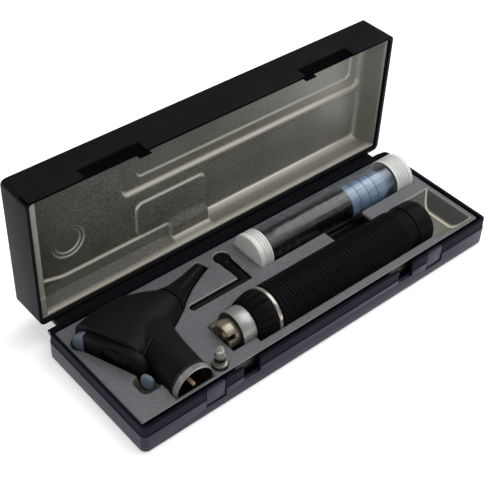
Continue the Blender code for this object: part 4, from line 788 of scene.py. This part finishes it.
# Painted shade: the collar's front face, in front of -54.1 mm, is painted near-black.
collar_metal = metal(
    "collar_metal", (0.36, 0.36, 0.35), (0.58, 0.58, 0.565), rough=0.38, scratch=0.25,
    stretch=(1, 1, 1), painted_black_shade=lambda made: made.axis("X") < -54.1)
fit(collar, collar_metal, "handle", "satin_metal", "handle_collar")
sleeve = turned("contact_sleeve", [
    (-57, 2.2), (-57, 3.9), (-56.7, 4.2), (-18.1, 4.2), (-18.1, 2.2), (-57, 2.2)], HANDLE, ALONG,
    UP, count=48)
smooth(sleeve)
fit(sleeve, dark_insert, "handle", "insulator", "handle_insulator")
stud = turned("contact_stud", [
    (-60, 0), (-60, 1.1), (-59.7, 1.6), (-59.2, 1.9), (-18.4, 1.9), (-17.8, 1.3), (-17.8, 0)],
    HANDLE, ALONG, UP, count=48)
smooth(stud)
fit(stud, brass, "handle", "brass", "handle_contact")

# Brightness dial: a moulded black ring that widens towards the grip, with narrow grooves for the
# fingers. A bright ring parts it from the grip.
grip_black = moulded(
    "grip_black", (0.002, 0.002, 0.002), (0.005, 0.0047, 0.0046), rough=0.42, grain=0.4, depth=0.02,
    specular=0.07)
dial = turned("dial_ring", [
    (-44, 10.5), (-44, 12.4), (-43.7, 13.0), (-43.1, 13.4), (-41, 14.0), (-38, 14.65),
    (-34.6, 15.3), (-33, 15.35), (-31.6, 15.3), (-31, 15.1), (-30.7, 14.6), (-30.7, 10.5),
    (-44, 10.5)], HANDLE, ALONG, UP, count=240)


GROOVES = 12


def grooved(angle, radius, along):
    """Narrow finger grooves round the outside of the dial."""
    if radius < 12:
        return radius
    phase = (angle * GROOVES / (2 * math.pi)) % 1 - 0.5
    return radius - 0.95 * math.exp(-(phase / 0.11) ** 2)


cut_round(dial, HANDLE, ALONG, UP, grooved)
smooth(dial, 40)
fit(dial, grip_black, "dial", "grip_black", "brightness_dial")
trim = turned("bright_ring", [
    (-30.4, 10.5), (-30.4, 14.8), (-30.1, 15.15), (-29.3, 15.25), (-28.4, 15.15), (-28.1, 14.8),
    (-28.1, 10.5), (-30.4, 10.5)], HANDLE, ALONG, UP, count=96)
smooth(trim)
fit(trim, chrome, "handle", "chrome", "trim_ring")

# Grip: a black tube with ribs along it, broken by shallow cross cuts, over the batteries.
# The last stretch before the cap is plain.
RIBS = 48
CUT_PITCH = 2.6
ribbed_start = -26.4
ribbed_end = 77.4
grip_outline = [(-27.8, 10.5), (-27.8, 14.0), (-27.5, 14.3), (-26.9, 14.3), (ribbed_start, 15.0)]
for number in range(1, int((ribbed_end - ribbed_start) / CUT_PITCH)):
    cut = ribbed_start + number * CUT_PITCH
    grip_outline += [(cut - 0.35, 15.0), (cut - 0.15, 14.78),
                     (cut + 0.15, 14.78), (cut + 0.35, 15.0)]
grip_outline += [(ribbed_end, 15.0), (77.9, 14.3), (84.9, 14.3), (85.2, 14.0), (85.2, 13.35),
                 (-17.8, 13.35), (-17.8, 10.5), (-27.8, 10.5)]
grip = turned("ribbed_grip", grip_outline, HANDLE, ALONG, UP, RIBS * 8)


def ribbed(angle, radius, along):
    """Narrow grooves between flat-topped ribs."""
    if radius < 14.6:
        return radius
    phase = abs((angle * RIBS / (2 * math.pi)) % 1 - 0.5)
    return radius - 0.65 * min(1, max(0, (0.26 - phase) / 0.14))


cut_round(grip, HANDLE, ALONG, UP, ribbed)
smooth(grip, 30)
knurl = Finish("ribbed_black", {"Specular IOR Level": 0.07})
cloud = knurl.noise(9 * MM, 4.0)
fine = knurl.noise(0.4 * MM, 2.0)
where = knurl.axis("X")
cuts = where.math("SINE", where * (2 * math.pi / CUT_PITCH), 0) * 0.5 + 0.5
knurl.feed("Base Color", knurl.mix(cloud * 0.4 + cuts * 0.6,
                                   (0.0015, 0.0015, 0.0017, 1), (0.006, 0.0058, 0.0062, 1)))
knurl.feed("Roughness", 0.42 + cloud * 0.14 + fine * 0.08)
knurl.bump(cuts + fine * 0.3, 0.12 * MM)
fit(grip, knurl, "handle", "grip_black", "grip_sleeve")

# Batteries, spring and cap: two cells pressed forward by a steel coil in the screw cap.
# The cells wear a plain metal sleeve.
cell_sleeve = metal(
    "cell_sleeve", (0.13, 0.13, 0.145), (0.22, 0.22, 0.24), rough=0.38, scratch=0.5,
    stretch=(1, 1, 1))
repaint("battery_1", cell_sleeve)
repaint("battery_2", cell_sleeve)
repaint("battery_spring", drawn_steel)
end_cap = turned("screw_cap", [
    (97, 0), (97, 12.8), (85.5, 12.8), (85.5, 14.5), (85.8, 14.8), (96.3, 14.8), (97.4, 14.6),
    (98.3, 14.0), (98.85, 13.2), (99, 12.3), (99, 0)], HANDLE, ALONG, UP, count=96)
smooth(end_cap, 40)
fit(end_cap, grip_black, "end_cap", "grip_black", "end_cap")

# Specula tube: a clear drawn tube closed by two ribbed white caps.
# The tube is thin, with a grey painted reflection of the sky along its upper back side, clouded by
# noise.
TUBE = Vector((0, TUBE_SIDE, TUBE_HEIGHT))
clear_plastic = Finish("clear_plastic", {
    "Transmission Weight": 1.0, "IOR": 1.46, "Specular IOR Level": 0.12})
haze = clear_plastic.noise(5 * MM, 4.0)
clear_plastic.feed("Base Color", clear_plastic.mix(haze, (0.88, 0.90, 0.93, 1),
                                                   (0.95, 0.97, 0.98, 1)))
clear_plastic.bump(haze, 0.002 * MM)
clear_plastic.feed("Roughness", 0.03 + haze * 0.1)
# Painted reflection: a grey veil on the tube's upper back side stands in for the sky reflected
# there.
up_tube = clear_plastic.axis("Z") - TUBE.z
across_tube = clear_plastic.axis("Y") - TUBE.y
shoulder = clear_plastic.node("ShaderNodeMapRange", {"interpolation_type": "SMOOTHSTEP"}, {
    "Value": up_tube * 0.75 + across_tube * 0.65, "From Min": 8.5, "From Max": 12.5, "To Max": 0.5})
painted_sky_reflection = clear_plastic.node("ShaderNodeBsdfPrincipled", {}, {
    "Base Color": clear_plastic.mix(haze, (0.06, 0.066, 0.08, 1), (0.24, 0.255, 0.28, 1)),
    "Roughness": 0.5})
clean = Value(clear_plastic, clear_plastic.shader.outputs[0])
with_sky_reflection = clear_plastic.node("ShaderNodeMixShader", {}, {
    0: shoulder * (0.6 + haze * 0.8), 1: clean, 2: painted_sky_reflection})
surface_socket = clear_plastic.tree.nodes["Material Output"].inputs["Surface"]
clear_plastic.tree.links.new(with_sky_reflection.socket, surface_socket)
clear_tube = turned("clear_tube", [
    (-4.1, 11.5), (-4.1, 12.4), (-3.9, 12.5), (124.1, 12.5), (124.3, 12.4), (124.3, 11.5),
    (-4.1, 11.5)], TUBE, ALONG, UP, count=128)
smooth(clear_tube)
fit(clear_tube, clear_plastic, "specula_tube", "clear", "specula_tube")
cap_white = Finish("cap_white", {"Subsurface Weight": 0.15, "Subsurface Scale": 0.002})
cloud = cap_white.noise(5 * MM, 4.0)
fine = cap_white.noise(0.5 * MM, 2.0)
cap_white.feed("Base Color", cap_white.mix(cloud * 0.6 + fine * 0.4, (0.42, 0.42, 0.405, 1),
                                           (0.76, 0.76, 0.735, 1)))
cap_white.feed("Roughness", 0.36 + cloud * 0.16)
cap_white.bump(fine, 0.02 * MM)


def ribbed_cap(name, face, lip, way, ribs, body):
    """A push-on cap from its face to its lip, with thin ribs round its skirt towards the lip."""
    outline = [(face, 0), (face, 12.3), (face + way * 0.15, 12.9), (face + way * 0.5, 13.4),
               (face + way, 13.6)]
    first = face + way * 3.2
    pitch = (lip - way * 0.8 - first) / ribs
    for number in range(ribs):
        start = first + number * pitch
        outline += [(start, 13.6), (start + pitch * 0.18, 12.95), (start + pitch * 0.55, 12.95),
                    (start + pitch * 0.73, 13.6)]
    inner = face + way * 1.5
    outline += [(lip - way * 0.3, 13.5), (lip, 13.2), (lip, 12.8), (inner, 12.8), (inner, 0)]
    cap = turned(name, outline, TUBE, ALONG, UP, 96)
    smooth(cap, 30)
    fit(cap, cap_white, body, "cap_white", body)


ribbed_cap("tube_cap_near", -5.9, 4.1, 1, 3, "tube_cap_left")
ribbed_cap("tube_cap_far", 126.1, 111.7, -1, 5, "tube_cap_right")

# Ear specula: thin cones nested one in the next, black ones first and then blue ones.
# Each has a wide collar and a rolled tip; one is turned and the rest are copies of it.
specula_black = moulded(
    "specula_black", (0.002, 0.002, 0.0025), (0.007, 0.007, 0.009), rough=0.5, grain=0.6,
    depth=0.01, specular=0.1)
specula_blue = moulded(
    "specula_blue", (0.07, 0.12, 0.21), (0.29, 0.40, 0.54), rough=0.36, grain=0.6, depth=0.01,
    specular=0.3)
BLACK_COUNT = 9
BLUE_COUNT = 4
FIRST_RIM = 5.6
PITCH = 7.5
pattern = turned("nested_speculum", [
    (FIRST_RIM, 10.4), (FIRST_RIM, 11.0), (FIRST_RIM + 0.3, 11.2), (FIRST_RIM + 6.6, 11.2),
    (FIRST_RIM + 6.9, 11.0), (FIRST_RIM + 6.9, 9.6), (FIRST_RIM + 16, 6.2), (FIRST_RIM + 25.2, 2.6),
    (FIRST_RIM + 25.5, 2.2), (FIRST_RIM + 25.2, 1.7), (FIRST_RIM + 16, 5.3), (FIRST_RIM + 6.1, 8.8),
    (FIRST_RIM + 6.1, 10.4), (FIRST_RIM, 10.4)], TUBE, ALONG, UP, count=64)
smooth(pattern, 40)
for number in range(BLACK_COUNT + BLUE_COUNT):
    if number < BLACK_COUNT:
        colour, finish, place = "black", specula_black, number + 1
    else:
        colour, finish, place = "blue", specula_blue, number + 1 - BLACK_COUNT
    nested = pattern if number == 0 else bpy.data.objects.new("nested", pattern.data.copy())
    nested.name = f"nested_{colour}_{place}"
    if number:
        bpy.context.scene.collection.objects.link(nested)
        nested.data.transform(Matrix.Translation((number * PITCH * MM, 0, 0)))
    fit(nested, finish, "specula_tube", f"specula_{colour}", f"ear_speculum_{colour}_{place}")

# Spare lamp: a small lamp standing in its own hole, with a dull flange, a waisted bright sleeve
# and a glass bead on top.
# Painted shade: the flange below 19.3 mm, down in its hole in the tray, is painted near-black.
dull_metal = metal(
    "dull_metal", (0.24, 0.23, 0.20), (0.46, 0.44, 0.39), rough=0.3, scratch=0.3, stretch=(1, 1, 1),
    painted_black_shade=lambda made: (made.axis("Z") < 19.3) * 0.85)
flange = turned("lamp_flange", [
    (9.6, 0), (9.6, 3.4), (18, 3.4), (18, 4.1), (18.3, 4.4), (19.4, 4.4), (19.8, 4.2), (20, 3.9),
    (20, 0)], LAMP, UP, ALONG, count=64)
smooth(flange)
fit(flange, dull_metal, "spare_lamp", "satin_metal", "spare_lamp_flange")
waist = turned("lamp_sleeve", [
    (20.3, 0), (20.3, 3.2), (20.5, 3.4), (21.5, 3.4), (21.8, 3.2), (22.1, 2.85), (24.2, 2.85),
    (24.5, 3.2), (24.8, 3.4), (25.8, 3.4), (26.2, 3.1), (26.6, 2.7), (27, 2.5), (27, 0)], LAMP, UP,
    ALONG, count=64)
smooth(waist)
# Painted shade: the sleeve's waist, between 21.7 and 24.5 mm, is painted near-black.
lamp_chrome = metal(
    "lamp_chrome", (0.16, 0.15, 0.125), (0.52, 0.50, 0.44), rough=0.24, scratch=0.3,
    stretch=(1, 1, 1), painted_black_shade=lambda made: made.between("Z", 21.7, 24.5))
fit(waist, lamp_chrome, "spare_lamp", "chrome", "spare_lamp_sleeve")
bead = turned("lamp_bead", [
    (27.3, 0), (27.3, 2.3), (28.4, 2.4), (29.6, 2.4), (30.6, 2.15), (31.5, 1.6), (32.2, 0.85),
    (32.5, 0)], LAMP, UP, ALONG, count=48)
smooth(bead, 50)
bead_glass = Finish("bead_glass", {
    "Transmission Weight": 0.6, "IOR": 1.5, "Specular IOR Level": 0.9})
cloud = bead_glass.noise(1.5 * MM, 3.0)
bead_glass.feed("Base Color", bead_glass.mix(cloud, (0.26, 0.25, 0.23, 1), (0.40, 0.39, 0.36, 1)))
bead_glass.feed("Roughness", 0.01 + cloud * 0.12)
bead_glass.bump(cloud, 0.002 * MM)
fit(bead, bead_glass, "spare_lamp", "glass", "spare_lamp_glass")

# Angled key: a black moulding with a thin rod, a flat arm and a round knob, used to push the lamp
# out of the neck. It lies in a slot of its own shape.
key = copy_of("lamp_key", "angled_key")
finish_with(key, "REMESH", mode="VOXEL", voxel_size=0.3 * MM, use_smooth_shade=True)
finish_with(key, "SMOOTH", factor=0.5, iterations=10)
fit(key, cone_black, "lamp_key", "head_black", "lamp_key")
